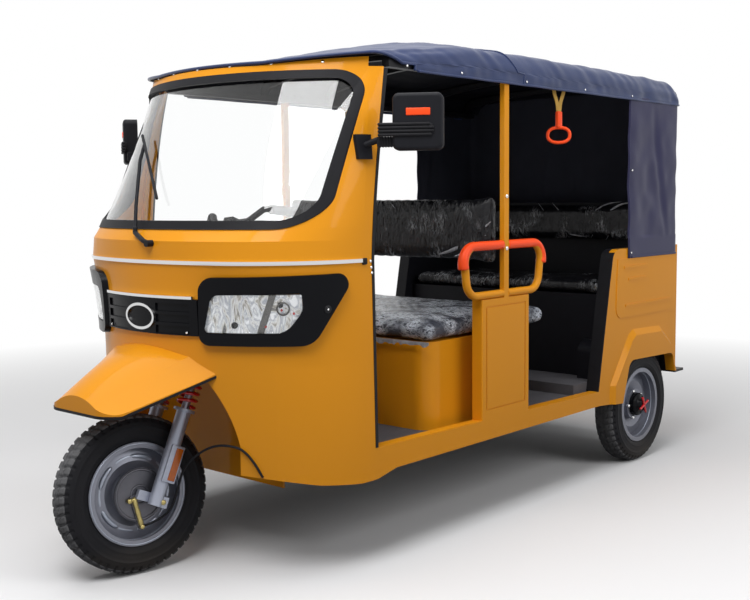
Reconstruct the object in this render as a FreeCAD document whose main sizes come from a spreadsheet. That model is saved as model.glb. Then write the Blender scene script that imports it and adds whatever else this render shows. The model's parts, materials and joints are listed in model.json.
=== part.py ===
import FreeCAD, Part
import math
import os
import types
import Sketcher

# Auto rickshaw: three wheels, hollow open-sided cabin, cloth canopy on bows.
# Millimetres and degrees. x: to the vehicle's left, y: backwards, z: up from the ground.
# Stations along y are counted from the front axle. Each piece's Placement moves the row's
# origin to the middle of the vehicle's length, on the ground.

doc = FreeCAD.newDocument("auto_rickshaw")

sizeRows = (
    # alias, value, meaning
    ("originStation", 1273.3, "row origin behind the front axle"),
    ("bodyHalf", 604, "side face of the panels from the centre plane"),
    ("panelWall", 22, "thickness of cowl and quarter panels"),
    ("noseStation", 60, "front of the nose at the centre plane"),
    ("noseCorner", 400, "plan radius of the nose's corners"),
    ("noseTangent", 490, "station where the nose's corner meets the side face, at the belt"),
    ("footTangent", 533, "the same station at the cowl's foot"),
    ("footTaper", 700, "height below which the cowl is upright"),
    ("beltHeight", 1030, "joint between cowl and windshield frame"),
    ("shoulderHeight", 1098, "where the nose stops being upright"),
    ("shoulderTangent", 497, "station where the shoulder's corner meets the side face"),
    ("scuttleHeight", 1138, "foot of the windshield"),
    ("scuttleStation", 90, "foot of the windshield at the centre plane"),
    ("scuttleTangent", 500, "station where the scuttle's corner meets the side face"),
    ("scuttleCorner", 350, "plan radius of the scuttle's corners"),
    ("headerHeight", 1690, "top of the windshield frame"),
    ("headerStation", 325, "top of the windshield frame at the centre plane"),
    ("headerTangent", 672, "station where the header's corner meets the side face"),
    ("headerCorner", 120, "plan radius of the header's corners"),
    ("doorFootStation", 533, "front door edge at its foot"),
    ("doorWaistStation", 522, "front door edge at the belt"),
    ("doorHeadStation", 606, "front door edge at its head"),
    ("postWidth", 42, "front post along y"),
    ("postDepth", 36, "front post across x"),
    ("doorRubber", 12, "rubber strip on the front post"),
    ("sillFront", 545, "front end of the sill"),
    ("sillRear", 1990, "rear end of the sill"),
    ("sillTopFront", 407, "sill top at the front"),
    ("sillTopRear", 383, "sill top at the rear"),
    ("sillBottom", 320, "sill underside"),
    ("sillWidth", 44, "sill across x"),
    ("floorTop", 375, "floor surface"),
    ("floorSheet", 8, "floor thickness"),
    ("archHalf", 361, "half width of the front wheel's opening"),
    ("archSpring", 445, "height where the opening starts to close"),
    ("archTop", 745, "top of the front wheel's opening"),
    ("wellBack", 346, "back wall of the front wheel well"),
    ("wellSheet", 6, "thickness of the wheel well"),
    ("sealWidth", 27, "width of the windshield rubber"),
    ("sealProud", 4, "how far the windshield rubber stands out"),
    ("glassSheet", 5, "windshield thickness"),
    ("glassInset", 8, "windshield behind the frame's outer face"),
    ("screenHalfFoot", 571, "half width of the windshield opening at its foot"),
    ("screenHalfHead", 571, "half width of the windshield opening at its head"),
    ("screenFoot", 1135, "lower edge of the windshield opening"),
    ("screenDrop", 45, "windshield opening below the frame's top"),
    ("beltTrimHeight", 12, "height of the chrome belt strip"),
    ("beltTrimProud", 5, "how far the belt strip stands out"),
    ("maskProud", 20, "how far the lamp surrounds stand out"),
    ("grilleProud", 10, "how far the grille stands out"),
    ("grilleHalf", 246, "half width of the grille"),
    ("grilleFoot", 796, "lower edge of the grille"),
    ("grilleHead", 914, "upper edge of the grille"),
    ("grilleTrimHeight", 9, "chrome strip over the grille"),
    ("emblemHeight", 850, "centre of the plain ring"),
    ("emblemHalf", 76, "half width of the plain ring"),
    ("emblemRise", 44, "half height of the plain ring"),
    ("lensSheet", 5, "headlamp lens thickness"),
    ("fenderSheet", 6, "fender thickness"),
    ("fenderTip", -212, "front end of the fender"),
    ("fenderFoot", 560, "lower edge of the fender at its tip"),
    ("fenderRubber", 9, "height of the rubber lip on the fender"),
    ("centrePostStation", 1288, "middle of the centre post"),
    ("centrePostWidth", 30, "centre post along y"),
    ("centrePostDepth", 20, "centre post across x"),
    ("railDrop", 35, "underside of the roof rails below the windshield frame's top"),
    ("guardLength", 312, "side guard along y"),
    ("guardTop", 850, "top of the side guard"),
    ("guardDepth", 46, "side guard across x"),
    ("guardBorder", 26, "border round the guard's groove"),
    ("loopTube", 30, "grab loop tube diameter"),
    ("loopLength", 545, "grab loop along y at its top"),
    ("loopTaper", 27, "how much each end of the loop comes in towards its foot"),
    ("loopTop", 1064, "top of the grab loop"),
    ("loopCorner", 62, "grab loop corner radius at the tube's middle"),
    ("coverWall", 8, "thickness of the plastic cover on the loop"),
    ("coverDrop", 64, "how far the cover reaches down the loop's ends"),
    ("seatBoxFront", 937, "front of the seat box"),
    ("seatBoxRear", 1540, "rear of the seat box"),
    ("seatBoxHalf", 501, "half width of the seat box"),
    ("seatBoxTop", 702, "top of the seat box"),
    ("seatBoxSheet", 12, "wall of the seat box"),
    ("seatBoxCorner", 70, "corner radius of the seat box"),
    ("benchFront", 915, "front of the long cushion"),
    ("benchRear", 1728, "rear of the long cushion"),
    ("benchHalf", 528, "half width of the long cushion"),
    ("benchThick", 78, "long cushion thickness"),
    ("backrestFoot", 968, "lower edge of the shared backrest"),
    ("backrestTop", 1242, "upper edge of the shared backrest"),
    ("backrestThick", 70, "shared backrest thickness"),
    ("rearBenchFront", 2116, "front face of the rear bench"),
    ("rearBenchTop", 792, "deck of the rear bench"),
    ("rearBenchSheet", 14, "rear bench sheet"),
    ("rearCushionThick", 62, "rear cushion thickness"),
    ("rearBackFront", 2470, "front face of the rear backrest"),
    ("rearBackThick", 80, "rear backrest thickness"),
    ("rearBackFoot", 1000, "lower edge of the rear backrest"),
    ("rearBackTop", 1206, "upper edge of the rear backrest"),
    ("quarterEnd", 2720, "rear end of the body"),
    ("quarterTop", 994, "top of the quarter panels"),
    ("quarterWall", 30, "quarter panel thickness"),
    ("liningWall", 30, "black lining inside the quarter panel"),
    ("trimSheet", 4, "rubber trim over the quarter's front face"),
    ("flareProud", 16, "bulge over the rear wheels"),
    ("embossProud", 3, "raised panel on the quarters"),
    ("plateHole", 3.5, "radius of the number plate's screw holes"),
    ("plateHoleSpacing", 240, "number plate's screw holes, middle to middle"),
    ("towHole", 9, "radius of the tow pin's hole in the bumper"),
    ("bumperReach", 88, "bumper behind the body"),
    ("canopyHalf", 611, "canopy side face"),
    ("canopySheet", 7, "canopy thickness"),
    ("hemDrop", 5, "canopy edge below the rails' underside, over the door openings"),
    ("canopySideFront", 2230, "front edge of the canopy's side curtain"),
    ("canopySideFoot", 951, "lower edge of the side curtain"),
    ("canopyRear", 2727, "rear face of the canopy"),
    ("canopyShoulder", 82, "radius of the canopy's shoulders"),
    ("canopyOverhang", 10, "canopy ahead of the windshield frame"),
    ("bowWidth", 24, "roof bow along y"),
    ("bowThick", 20, "roof bow, upright"),
    ("wheelRadius", 262, "tyre outer radius, out to the lugs"),
    ("tyreWidth", 112, "tyre section width"),
    ("seatRadius", 158, "bead seat radius"),
    ("flangeRadius", 171, "rim flange radius"),
    ("rimHalf", 48, "half width of the rim"),
    ("rimWall", 6, "rim sheet"),
    ("wheelbase", 2405, "front axle to rear axle"),
    ("rearTrackHalf", 536, "rear tyre's middle from the centre plane"),
    ("rake", 24, "steering axis leans back"),
    ("steerStation", 62, "steering axis at the height of the axle"),
    ("steerRest", -11, "front wheel turned to the vehicle's right at rest"),
    ("legHalf", 96, "fork leg from the wheel's middle plane"),
    ("legLead", 12, "fork legs ahead of the steering axis"),
    ("legRadius", 24, "fork slider radius"),
    ("sliderTop", 282, "top of the sliders above the axle's height"),
    ("yokeFoot", 425, "underside of the fork's yoke above the axle's height"),
    ("stanchionRadius", 13, "upper fork tube radius"),
    ("springRadius", 36, "fork spring outer radius"),
    ("stemRadius", 18, "steering stem radius"),
    ("stemGap", 0.3, "running clearance round stem and axles"),
    ("pinRadius", 8, "front axle pin radius"),
    ("stubRadius", 17, "rear axle stub radius"),
    ("cableRadius", 4, "brake cable radius"),
    ("railHalf", 355, "chassis rail's middle from the centre plane"),
    ("railSize", 48, "chassis rail, square section"),
)

sheet = doc.addObject("Spreadsheet::Sheet", "Dims")
for row, (alias, value, meaning) in enumerate(sizeRows, start=1):
    sheet.set(f"A{row}", meaning)
    sheet.set(f"B{row}", str(value))
    sheet.setAlias(f"B{row}", alias)
doc.recompute()
size = types.SimpleNamespace(**{alias: float(sheet.get(alias)) for alias, value, meaning in sizeRows})

pieces = []
xAxis = FreeCAD.Vector(1, 0, 0)
yAxis = FreeCAD.Vector(0, 1, 0)
zAxis = FreeCAD.Vector(0, 0, 1)
origin = FreeCAD.Vector(0, 0, 0)
toRow = FreeCAD.Placement(FreeCAD.Vector(0, -size.originStation, 0), FreeCAD.Rotation())


def vec(x, y, z):
    return FreeCAD.Vector(x, y, z)


def keep(label, shape, move=toRow):
    """A finished sub-part from a shape in station coordinates."""
    piece = doc.addObject("Part::Feature", label)
    piece.Label = label
    piece.Shape = shape
    piece.Placement = move.multiply(piece.Placement)
    pieces.append(piece)
    return piece


def block(x0, x1, y0, y1, z0, z1):
    return Part.makeBox(x1 - x0, y1 - y0, z1 - z0, vec(x0, y0, z0))


def rod(radius, length, start, direction):
    return Part.makeCylinder(radius, length, start, direction)


def mirrored(shape):
    return shape.mirror(origin, xAxis)


def pair(shape):
    return Part.makeCompound([shape, mirrored(shape)])


def rounded(corners):
    """A closed wire in the plane of the corners; each corner is (point, radius)."""
    count = len(corners)
    ends = []
    for number, (point, radius) in enumerate(corners):
        before = (corners[number - 1][0] - point).normalize()
        after = (corners[(number + 1) % count][0] - point).normalize()
        if radius == 0:
            ends.append((point, point, None))
            continue
        half = before.getAngle(after) / 2
        reach = radius / math.tan(half)
        middle = (before + after).normalize()
        crown = point + middle * (radius / math.sin(half) - radius)
        ends.append((point + before * reach, point + after * reach, crown))
    edges = []
    for number, (start, finish, crown) in enumerate(ends):
        if crown is not None:
            edges.append(Part.Arc(start, crown, finish).toShape())
        follow = ends[(number + 1) % count][0]
        if finish.distanceToPoint(follow) > 1e-6:
            edges.append(Part.LineSegment(finish, follow).toShape())
    return Part.Wire(edges)


def sideProfile(corners, x0, x1):
    """Extrude a side view of (y, z, radius) corners from x0 to x1."""
    wire = rounded([(vec(x0, y, z), radius) for y, z, radius in corners])
    return Part.Face(wire).extrude(vec(x1 - x0, 0, 0))


def frontProfile(corners, y0, y1):
    """Extrude a front view of (x, z, radius) corners from y0 to y1."""
    wire = rounded([(vec(x, y0, z), radius) for x, z, radius in corners])
    return Part.Face(wire).extrude(vec(0, y1 - y0, 0))


def planProfile(corners, z0, z1):
    """Extrude a top view of (x, y, radius) corners from z0 to z1."""
    wire = rounded([(vec(x, y, z0), radius) for x, y, radius in corners])
    return Part.Face(wire).extrude(vec(0, 0, z1 - z0))


def roundSides(half):
    """Both sides of a symmetric outline from its right half, listed upwards."""
    return half + [(-x, z, radius) for x, z, radius in reversed(half)]


# Sketches bound to the sheet


def planeOf(body, role):
    for feature in body.Origin.OriginFeatures:
        if getattr(feature, "Role", "") == role:
            return feature
    raise ValueError(role)


def boundSketch(body, name, role, vertices):
    """A closed polygon whose vertices are pairs of expressions."""
    sketch = body.newObject("Sketcher::SketchObject", name)
    sketch.AttachmentSupport = (planeOf(body, role), "")
    sketch.MapMode = "FlatFace"
    points = [(evaluate(a), evaluate(b)) for a, b in vertices]
    count = len(points)
    for number, point in enumerate(points):
        follow = points[(number + 1) % count]
        sketch.addGeometry(Part.LineSegment(vec(*point, 0), vec(*follow, 0)), False)
    for number in range(count):
        follow = (number + 1) % count
        sketch.addConstraint(Sketcher.Constraint("Coincident", number, 2, follow, 1))
    for number, (across, up) in enumerate(vertices):
        for kind, expression, value in (("DistanceX", across, points[number][0]),
                                        ("DistanceY", up, points[number][1])):
            index = sketch.addConstraint(Sketcher.Constraint(kind, -1, 1, number, 1, value))
            sketch.setExpression(f"Constraints[{index}]", expression)
    return sketch


probe = doc.addObject("App::FeaturePython", "Probe")
probe.addProperty("App::PropertyFloat", "Reading")


def evaluate(expression):
    """The present value of a sheet expression."""
    probe.setExpression("Reading", expression)
    probe.recompute()
    return probe.Reading


def shift(piece):
    piece.setExpression("Placement.Base.y", "-Dims.originStation")
    pieces.append(piece)


# The nose, in plan: a wide front arc, two corner arcs, two straight sides.

def noseWire(height, half, front, tangent, corner, back):
    across = half - corner
    along = tangent - front
    frontRadius = (across**2 + along**2 - corner**2) / (2 * (along - corner))
    frontCentre = front + frontRadius
    towards = vec(across, tangent - frontCentre, 0).normalize()
    joint = vec(0, frontCentre, height) + towards * frontRadius
    turn = math.atan2(towards.y, towards.x) / 2
    crown = vec(across, tangent, height) + vec(math.cos(turn), math.sin(turn), 0) * corner
    sideStart = vec(half, tangent, height)
    sideEnd = vec(half, back, height)

    def other(point):
        return vec(-point.x, point.y, point.z)

    return Part.Wire([
        Part.LineSegment(sideEnd, sideStart).toShape(),
        Part.Arc(sideStart, crown, joint).toShape(),
        Part.Arc(joint, vec(0, front, height), other(joint)).toShape(),
        Part.Arc(other(joint), other(crown), other(sideStart)).toShape(),
        Part.LineSegment(other(sideStart), other(sideEnd)).toShape(),
        Part.LineSegment(other(sideEnd), sideEnd).toShape()])


noseFoot = 200
railFoot = size.headerHeight - size.railDrop
hem = railFoot - size.hemDrop
noseBack = size.headerTangent + 68
noseLevels = (
    # height, front station, tangent station, corner radius
    (noseFoot, size.noseStation, size.footTangent, size.noseCorner),
    (size.footTaper, size.noseStation, size.footTangent, size.noseCorner),
    (size.beltHeight, size.noseStation, size.noseTangent, size.noseCorner),
    (size.shoulderHeight, size.noseStation, size.shoulderTangent, size.noseCorner),
    (size.scuttleHeight, size.scuttleStation, size.scuttleTangent, size.scuttleCorner),
    (size.headerHeight, size.headerStation, size.headerTangent, size.headerCorner),
)


def noseSolid(inset):
    """The whole nose, from below the cowl to the header, moved in by inset."""
    wires = [noseWire(height, size.bodyHalf - inset, front + inset, tangent, corner - inset,
                      noseBack)
             for height, front, tangent, corner in noseLevels]
    return Part.makeLoft(wires, True, True)


nose = noseSolid(0)
noseInner = noseSolid(size.panelWall)
noseShell = nose.cut(noseInner)


def doorEdge(height, shift=0):
    """Station of the front door edge: straight up to the belt, then curving backwards."""
    if height <= size.beltHeight:
        rise = (height - size.sillTopFront) / (size.beltHeight - size.sillTopFront)
        foot = size.doorFootStation
        return foot + (size.doorWaistStation - foot) * rise + shift
    rise = (height - size.beltHeight) / (hem - size.beltHeight)
    return size.doorWaistStation + (size.doorHeadStation - size.doorWaistStation) * rise**1.6 + shift


def behindDoor(shift):
    """Everything from the shifted door edge backwards, to past the nose."""
    foot = size.sillTopFront
    head = size.headerHeight + 20
    low, waist, middle, high = (
        vec(0, doorEdge(height, shift), height)
        for height in (foot, size.beltHeight, (size.beltHeight + head) / 2, head))
    back = noseBack + 20
    wire = Part.Wire([
        Part.LineSegment(low, waist).toShape(),
        Part.Arc(waist, middle, high).toShape(),
        Part.LineSegment(high, vec(0, back, head)).toShape(),
        Part.LineSegment(vec(0, back, head), vec(0, back, foot)).toShape(),
        Part.LineSegment(vec(0, back, foot), low).toShape()])
    solid = Part.Face(wire).extrude(vec(2 * size.bodyHalf + 100, 0, 0))
    solid.translate(vec(-size.bodyHalf - 50, 0, 0))
    return solid


behindPost = behindDoor(-size.postWidth)
behindEdge = behindDoor(0)

# Wheels: lathe sections of (along the axle, radius), bound to the sheet

tyreSection = (
    ("-Dims.rimHalf + 5", "Dims.seatRadius"),
    ("Dims.rimHalf - 5", "Dims.seatRadius"),
    ("Dims.rimHalf - 5", "Dims.flangeRadius + 2"),
    ("Dims.tyreWidth / 2 - 2", "Dims.flangeRadius + 14"),
    ("Dims.tyreWidth / 2", "(Dims.flangeRadius + Dims.wheelRadius) / 2 - 4"),
    ("Dims.tyreWidth / 2 - 4", "Dims.wheelRadius - 26"),
    ("Dims.tyreWidth / 2 - 14", "Dims.wheelRadius - 7"),
    ("Dims.tyreWidth / 2 - 30", "Dims.wheelRadius"),
    ("-Dims.tyreWidth / 2 + 30", "Dims.wheelRadius"),
    ("-Dims.tyreWidth / 2 + 14", "Dims.wheelRadius - 7"),
    ("-Dims.tyreWidth / 2 + 4", "Dims.wheelRadius - 26"),
    ("-Dims.tyreWidth / 2", "(Dims.flangeRadius + Dims.wheelRadius) / 2 - 4"),
    ("-Dims.tyreWidth / 2 + 2", "Dims.flangeRadius + 14"),
    ("-Dims.rimHalf + 5", "Dims.flangeRadius + 2"),
)


def rimSection(bore, hubOut, hubIn, hubRadius, dish):
    """Barrel with flanges, dished disc and hub; dish is the disc's place along the axle."""
    wall = "Dims.rimWall"
    seat = "Dims.seatRadius"
    half = "Dims.rimHalf"
    return (
        (f"-{hubIn}", bore),
        (f"{hubOut}", bore),
        (f"{hubOut}", f"{hubRadius}"),
        (f"{dish} + {wall}", f"{hubRadius}"),
        (f"{dish} + {wall} + 14", f"{seat} - 50"),
        (f"{dish} + {wall}", f"{seat} - {wall}"),
        (f"{half}", f"{seat} - {wall}"),
        (f"{half}", "Dims.flangeRadius"),
        (f"{half} - 5", "Dims.flangeRadius"),
        (f"{half} - 5", seat),
        (f"-{half} + 5", seat),
        (f"-{half} + 5", "Dims.flangeRadius"),
        (f"-{half}", "Dims.flangeRadius"),
        (f"-{half}", f"{seat} - {wall}"),
        (f"{dish}", f"{seat} - {wall}"),
        (f"{dish} + 14", f"{seat} - 50"),
        (f"{dish}", f"{hubRadius}"),
        (f"-{hubIn}", f"{hubRadius}"),
    )


def lathe(label, section):
    body = doc.addObject("PartDesign::Body", label)
    sketch = boundSketch(body, label + "Section", "XY_Plane", section)
    turn = body.newObject("PartDesign::Revolution", label + "Turn")
    turn.Profile = sketch
    turn.ReferenceAxis = (sketch, ["H_Axis"])
    turn.Angle = 360
    body.Label = label
    doc.recompute()
    pieces.append(body)
    return body


frontTyre = lathe("front_tyre", tyreSection)
frontRim = lathe("front_rim", rimSection("Dims.pinRadius + Dims.stemGap", 44, 44, 78, 4))

# Steered group: turned by its rest angle about the raked axis, then lowered onto the ground

steerUp = vec(0, math.sin(math.radians(size.rake)), math.cos(math.radians(size.rake)))
axleLead = size.steerStation * math.cos(math.radians(size.rake))
axleDrop = -size.steerStation * math.sin(math.radians(size.rake))
lean = FreeCAD.Rotation(xAxis, -size.rake)
restTurn = FreeCAD.Placement(origin, FreeCAD.Rotation(zAxis, size.steerRest))
toAxle = FreeCAD.Placement(vec(0, -axleLead, axleDrop), FreeCAD.Rotation())
steerPoint = vec(0, size.steerStation, size.wheelRadius)
trial = frontTyre.Shape.copy()
trial.Placement = FreeCAD.Placement(steerPoint, lean).multiply(restTurn).multiply(toAxle)
steerPoint = steerPoint - zAxis * trial.BoundBox.ZMin
steered = FreeCAD.Placement(steerPoint, lean).multiply(restTurn)
steeredRow = toRow.multiply(steered)
wheelRow = steeredRow.multiply(toAxle)
frontTyre.Placement = wheelRow
frontRim.Placement = wheelRow

# Front wheel opening in the cowl, seen from the front

archShoulder = (0.55 * size.archHalf, size.archTop - 33)
archFlank = (0.88 * size.archHalf, 0.413 * size.archTop + 0.587 * size.archSpring)


def archWire(y, inset):
    half = size.archHalf - inset
    foot = 150
    spring = vec(half, y, size.archSpring)
    flank = vec(archFlank[0] - inset, y, archFlank[1] - inset / 2)
    shoulder = vec(archShoulder[0], y, archShoulder[1] - inset)
    top = vec(0, y, size.archTop - inset)

    def other(point):
        return vec(-point.x, point.y, point.z)

    return Part.Wire([
        Part.LineSegment(vec(half, y, foot), spring).toShape(),
        Part.Arc(spring, flank, shoulder).toShape(),
        Part.Arc(shoulder, top, other(shoulder)).toShape(),
        Part.Arc(other(shoulder), other(flank), other(spring)).toShape(),
        Part.LineSegment(other(spring), vec(-half, y, foot)).toShape(),
        Part.LineSegment(vec(-half, y, foot), vec(half, y, foot)).toShape()])


def archSolid(inset, y0, y1):
    return Part.Face(archWire(y0, inset)).extrude(vec(0, y1 - y0, 0))


# Cowl: nose shell below the belt, ending at the front post, open over the wheel

cowlOutline = (
    # station, height, corner radius; the lower edge falls towards the sill
    (-20, 389, 0),
    (330, 313, 200),
    (470, 299, 120),
    (545, 300, 60),
    (640, size.sillBottom, 0),
    (size.sillFront, size.sillBottom, 0),
    (size.sillFront, size.sillTopFront, 0),
    (noseBack, size.sillTopFront, 0),
    (noseBack, size.beltHeight, 0),
    (-20, size.beltHeight, 0),
)
cowlRange = sideProfile(cowlOutline, -700, 700)
cowl = noseShell.common(cowlRange).cut(behindPost)
cowl = cowl.cut(archSolid(0, -50, size.wellBack - 60))
keep("cowl", cowl)

# Wheel well: a tunnel behind the opening, level with the cowl's lower edge, with a deeper
# back wall and a hole for the stem in its roof

wellFoot = 270
well = archSolid(-size.wellSheet / 3, size.noseStation, size.wellBack)
well = well.cut(archSolid(size.wellSheet, size.noseStation - 10, size.wellBack - size.wellSheet))
well = well.common(noseInner)
backWall = well.common(block(-700, 700, size.wellBack - size.wellSheet - 1, 700, wellFoot, 700))
well = well.common(cowlRange).fuse(backWall)
well = well.cut(rod(size.stemRadius + 16, 900, steerPoint, steerUp))
keep("wheel_well", well)

# Windshield frame, rubber and glass

seamStation = 1104
frontBow = seamStation + 50
rearBow = 2650
canopySections = (
    # station, crown above the rails, side height above the rails, shoulder radius
    (size.headerStation + 35, 20, -3, 18),
    (seamStation, 171, 39, size.canopyShoulder),
    (frontBow, 143, 35, size.canopyShoulder),
    (1560, 160, 37, size.canopyShoulder),
    (2243, 145, 35, size.canopyShoulder),
    (rearBow, 128, 28, size.canopyShoulder),
    (size.canopyRear, 85, -3, size.canopyShoulder),
)
bowStations = (frontBow, 1560, 2243, rearBow)


def canopyWire(station, crown, shoulder, radius, inset, foot):
    """Cross-section: upright sides, round shoulders, a shallow crown."""
    half = size.canopyHalf - inset
    crown = railFoot + crown - inset
    radius = max(radius - inset, 4)
    top = railFoot + shoulder - inset
    drop = crown - top
    across = half - radius
    # the crown's arc is tangent to the shoulder's arc, whose centre is (across, top)
    topRadius = (across**2 + drop**2 - radius**2) / (2 * (drop - radius))
    centre = vec(0, station, crown - topRadius)
    towards = (vec(across, station, top) - centre).normalize()
    joint = centre + towards * topRadius
    turn = math.atan2(towards.z, towards.x) / 2
    bend = vec(across, station, top) + vec(math.cos(turn), 0, math.sin(turn)) * radius
    side = vec(half, station, top)
    hem = vec(half, station, foot)

    def other(point):
        return vec(-point.x, point.y, point.z)

    return Part.Wire([
        Part.LineSegment(hem, side).toShape(),
        Part.Arc(side, bend, joint).toShape(),
        Part.Arc(joint, vec(0, station, crown), other(joint)).toShape(),
        Part.Arc(other(joint), other(bend), other(side)).toShape(),
        Part.LineSegment(other(side), other(hem)).toShape(),
        Part.LineSegment(other(hem), hem).toShape()])


def canopySolid(inset, foot, rearInset):
    """The space under the canopy's surface, from ahead of the nose to the rear."""
    rows = [(-100,) + canopySections[0][1:]] + list(canopySections[:-1])
    rows.append((canopySections[-1][0] - rearInset,) + canopySections[-1][1:])
    wires = [canopyWire(*row, inset, foot) for row in rows]
    return Part.makeLoft(wires, True, True)


canopyOuter = canopySolid(0, hem, 0)
underCanopy = canopySolid(size.canopySheet, 250, size.canopySheet)
screenFrame = noseShell.common(block(-700, 700, -50, 700, size.beltHeight, size.headerHeight))
screenFrame = screenFrame.cut(behindPost)


def screenOutline(inset):
    sideInset = inset * 0.85
    head = size.headerHeight - size.screenDrop
    return roundSides([
        (size.screenHalfFoot - sideInset, size.screenFoot + inset, 105 - sideInset),
        (size.screenHalfHead - sideInset, head - inset, 85 - sideInset)])


def screenPrism(inset):
    return frontProfile(screenOutline(inset), -100, noseBack)


screenOpening = screenPrism(0)
screenFrame = screenFrame.cut(screenOpening).common(underCanopy)
keep("windshield_frame", screenFrame)

glassOuter = noseSolid(size.glassInset)
glassInner = noseSolid(size.glassInset + size.glassSheet)
glass = glassOuter.cut(glassInner).common(screenPrism(size.sealWidth / 2))
glass = glass.cut(behindPost)
keep("windshield_glass", glass)

seal = noseSolid(-size.sealProud).cut(noseSolid(size.glassInset * 2 + size.glassSheet))
seal = seal.common(screenOpening).cut(screenPrism(size.sealWidth))
seal = seal.cut(glass).cut(behindPost)
keep("windshield_seal", seal)

# Front and centre posts

postBand = noseSolid(0).cut(noseSolid(size.postDepth)).common(behindPost)
postBand = postBand.cut(behindEdge)
postBand = postBand.common(block(-700, 700, 0, 700, size.sillTopFront, railFoot))
postBand = postBand.common(underCanopy)
centrePostX = size.bodyHalf - size.centrePostDepth
centrePost = block(centrePostX, size.bodyHalf,
                   size.centrePostStation - size.centrePostWidth / 2,
                   size.centrePostStation + size.centrePostWidth / 2,
                   size.guardTop, railFoot)
keep("door_posts", Part.makeCompound(postBand.Solids + pair(centrePost).Solids))

# Sills and side guards

sillOutline = (
    (size.sillFront, size.sillBottom, 0),
    (size.sillRear, size.sillBottom, 0),
    (size.sillRear, size.sillTopRear, 0),
    (size.sillFront, size.sillTopFront, 0),
)
sill = sideProfile(sillOutline, size.bodyHalf - size.sillWidth, size.bodyHalf)
keep("side_sills", pair(sill))

guardFront = size.centrePostStation - size.guardLength / 2
guardRear = guardFront + size.guardLength
guard = block(size.bodyHalf - size.guardDepth, size.bodyHalf, guardFront, guardRear,
              size.sillBottom, size.guardTop)
guard = guard.makeFillet(5, [edge for edge in guard.Edges
                             if edge.BoundBox.XMin > size.bodyHalf - 1 and edge.BoundBox.ZLength > 100])
grooveDepth = 3
grooveOuter = block(size.bodyHalf - grooveDepth, size.bodyHalf + 1,
                    guardFront + size.guardBorder, guardRear - size.guardBorder,
                    size.sillTopFront + size.guardBorder, size.guardTop - size.guardBorder)
grooveInner = block(size.bodyHalf - grooveDepth - 1, size.bodyHalf + 2,
                    guardFront + size.guardBorder + 5, guardRear - size.guardBorder - 5,
                    size.sillTopFront + size.guardBorder + 5, size.guardTop - size.guardBorder - 5)
guard = guard.cut(grooveOuter.cut(grooveInner)).cut(sill)
guard = guard.cut(block(500, 700, guardFront - 1, guardRear + 1, 200, size.sillTopRear))
keep("side_guards", pair(guard))

# Grab loops: a rounded tube narrowing towards the guard, met by the centre post

loopX = size.bodyHalf - size.centrePostDepth / 2 - 2
loopHalf = (size.loopLength - size.loopTube) / 2
loopFoot = size.guardTop + size.loopTube / 2
loopHead = size.loopTop - size.loopTube / 2
loopCorners = [
    (vec(loopX, size.centrePostStation - loopHalf + size.loopTaper, loopFoot), size.loopCorner),
    (vec(loopX, size.centrePostStation + loopHalf - size.loopTaper, loopFoot), size.loopCorner),
    (vec(loopX, size.centrePostStation + loopHalf, loopHead), size.loopCorner),
    (vec(loopX, size.centrePostStation - loopHalf, loopHead), size.loopCorner)]
loopPath = rounded(loopCorners)


def tubeAlong(path, radius):
    start = path.OrderedEdges[0]
    point = start.valueAt(start.FirstParameter)
    tangent = start.tangentAt(start.FirstParameter)
    if start.Orientation == "Reversed":
        point = start.valueAt(start.LastParameter)
        tangent = start.tangentAt(start.LastParameter) * -1
    profile = Part.Wire([Part.Circle(point, tangent, radius).toShape()])
    return path.makePipeShell([profile], True, False)


postGap = block(centrePostX, size.bodyHalf + 20,
                size.centrePostStation - size.centrePostWidth / 2,
                size.centrePostStation + size.centrePostWidth / 2, 700, 1300)
loopTubeSolid = tubeAlong(loopPath, size.loopTube / 2)
loop = loopTubeSolid.cut(postGap)
loop = loop.cut(block(500, 700, guardFront, guardRear, 700, size.guardTop))
keep("grab_loops", pair(loop))
coverTube = tubeAlong(loopPath, size.loopTube / 2 + size.coverWall).cut(loopTubeSolid)
cover = coverTube.common(block(500, 700, 800, 1800, size.loopTop - size.coverDrop, 1200))
cover = cover.cut(postGap)
keep("grab_covers", pair(cover))

# Floor with the step before the rear bench

floorHalf = size.bodyHalf - size.sillWidth
outsideNose = block(-700, 700, -100, size.footTangent, 100, 1200).cut(noseInner)
floor = block(-floorHalf, floorHalf, size.wellBack, size.sillRear - size.trimSheet,
              size.floorTop - size.floorSheet, size.floorTop).cut(outsideNose)
quarterX = size.bodyHalf - size.quarterWall
liningX = quarterX - size.liningWall
rearFloor = block(-liningX, liningX, size.sillRear - size.trimSheet - 1, size.rearBenchFront,
                  size.floorTop - size.floorSheet, size.floorTop)
stepFront = 1880
stepTop = 420
step = block(-liningX, liningX, stepFront, size.rearBenchFront, size.floorTop, stepTop)
engineHole = block(-280, 280, size.seatBoxFront + 40, size.seatBoxRear - 40, 300, 400)
columnFront = size.wellBack + 10
column = block(-32, 32, columnFront, columnFront + 50, size.floorTop - size.floorSheet - 40, 900)
floor = floor.fuse([rearFloor, step]).cut(engineHole).cut(column).removeSplitter()
keep("floor_pan", floor)

# Seat box: a sketched rectangle padded up and hollowed from below, corners rounded

seatBody = doc.addObject("PartDesign::Body", "seat_box")


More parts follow.
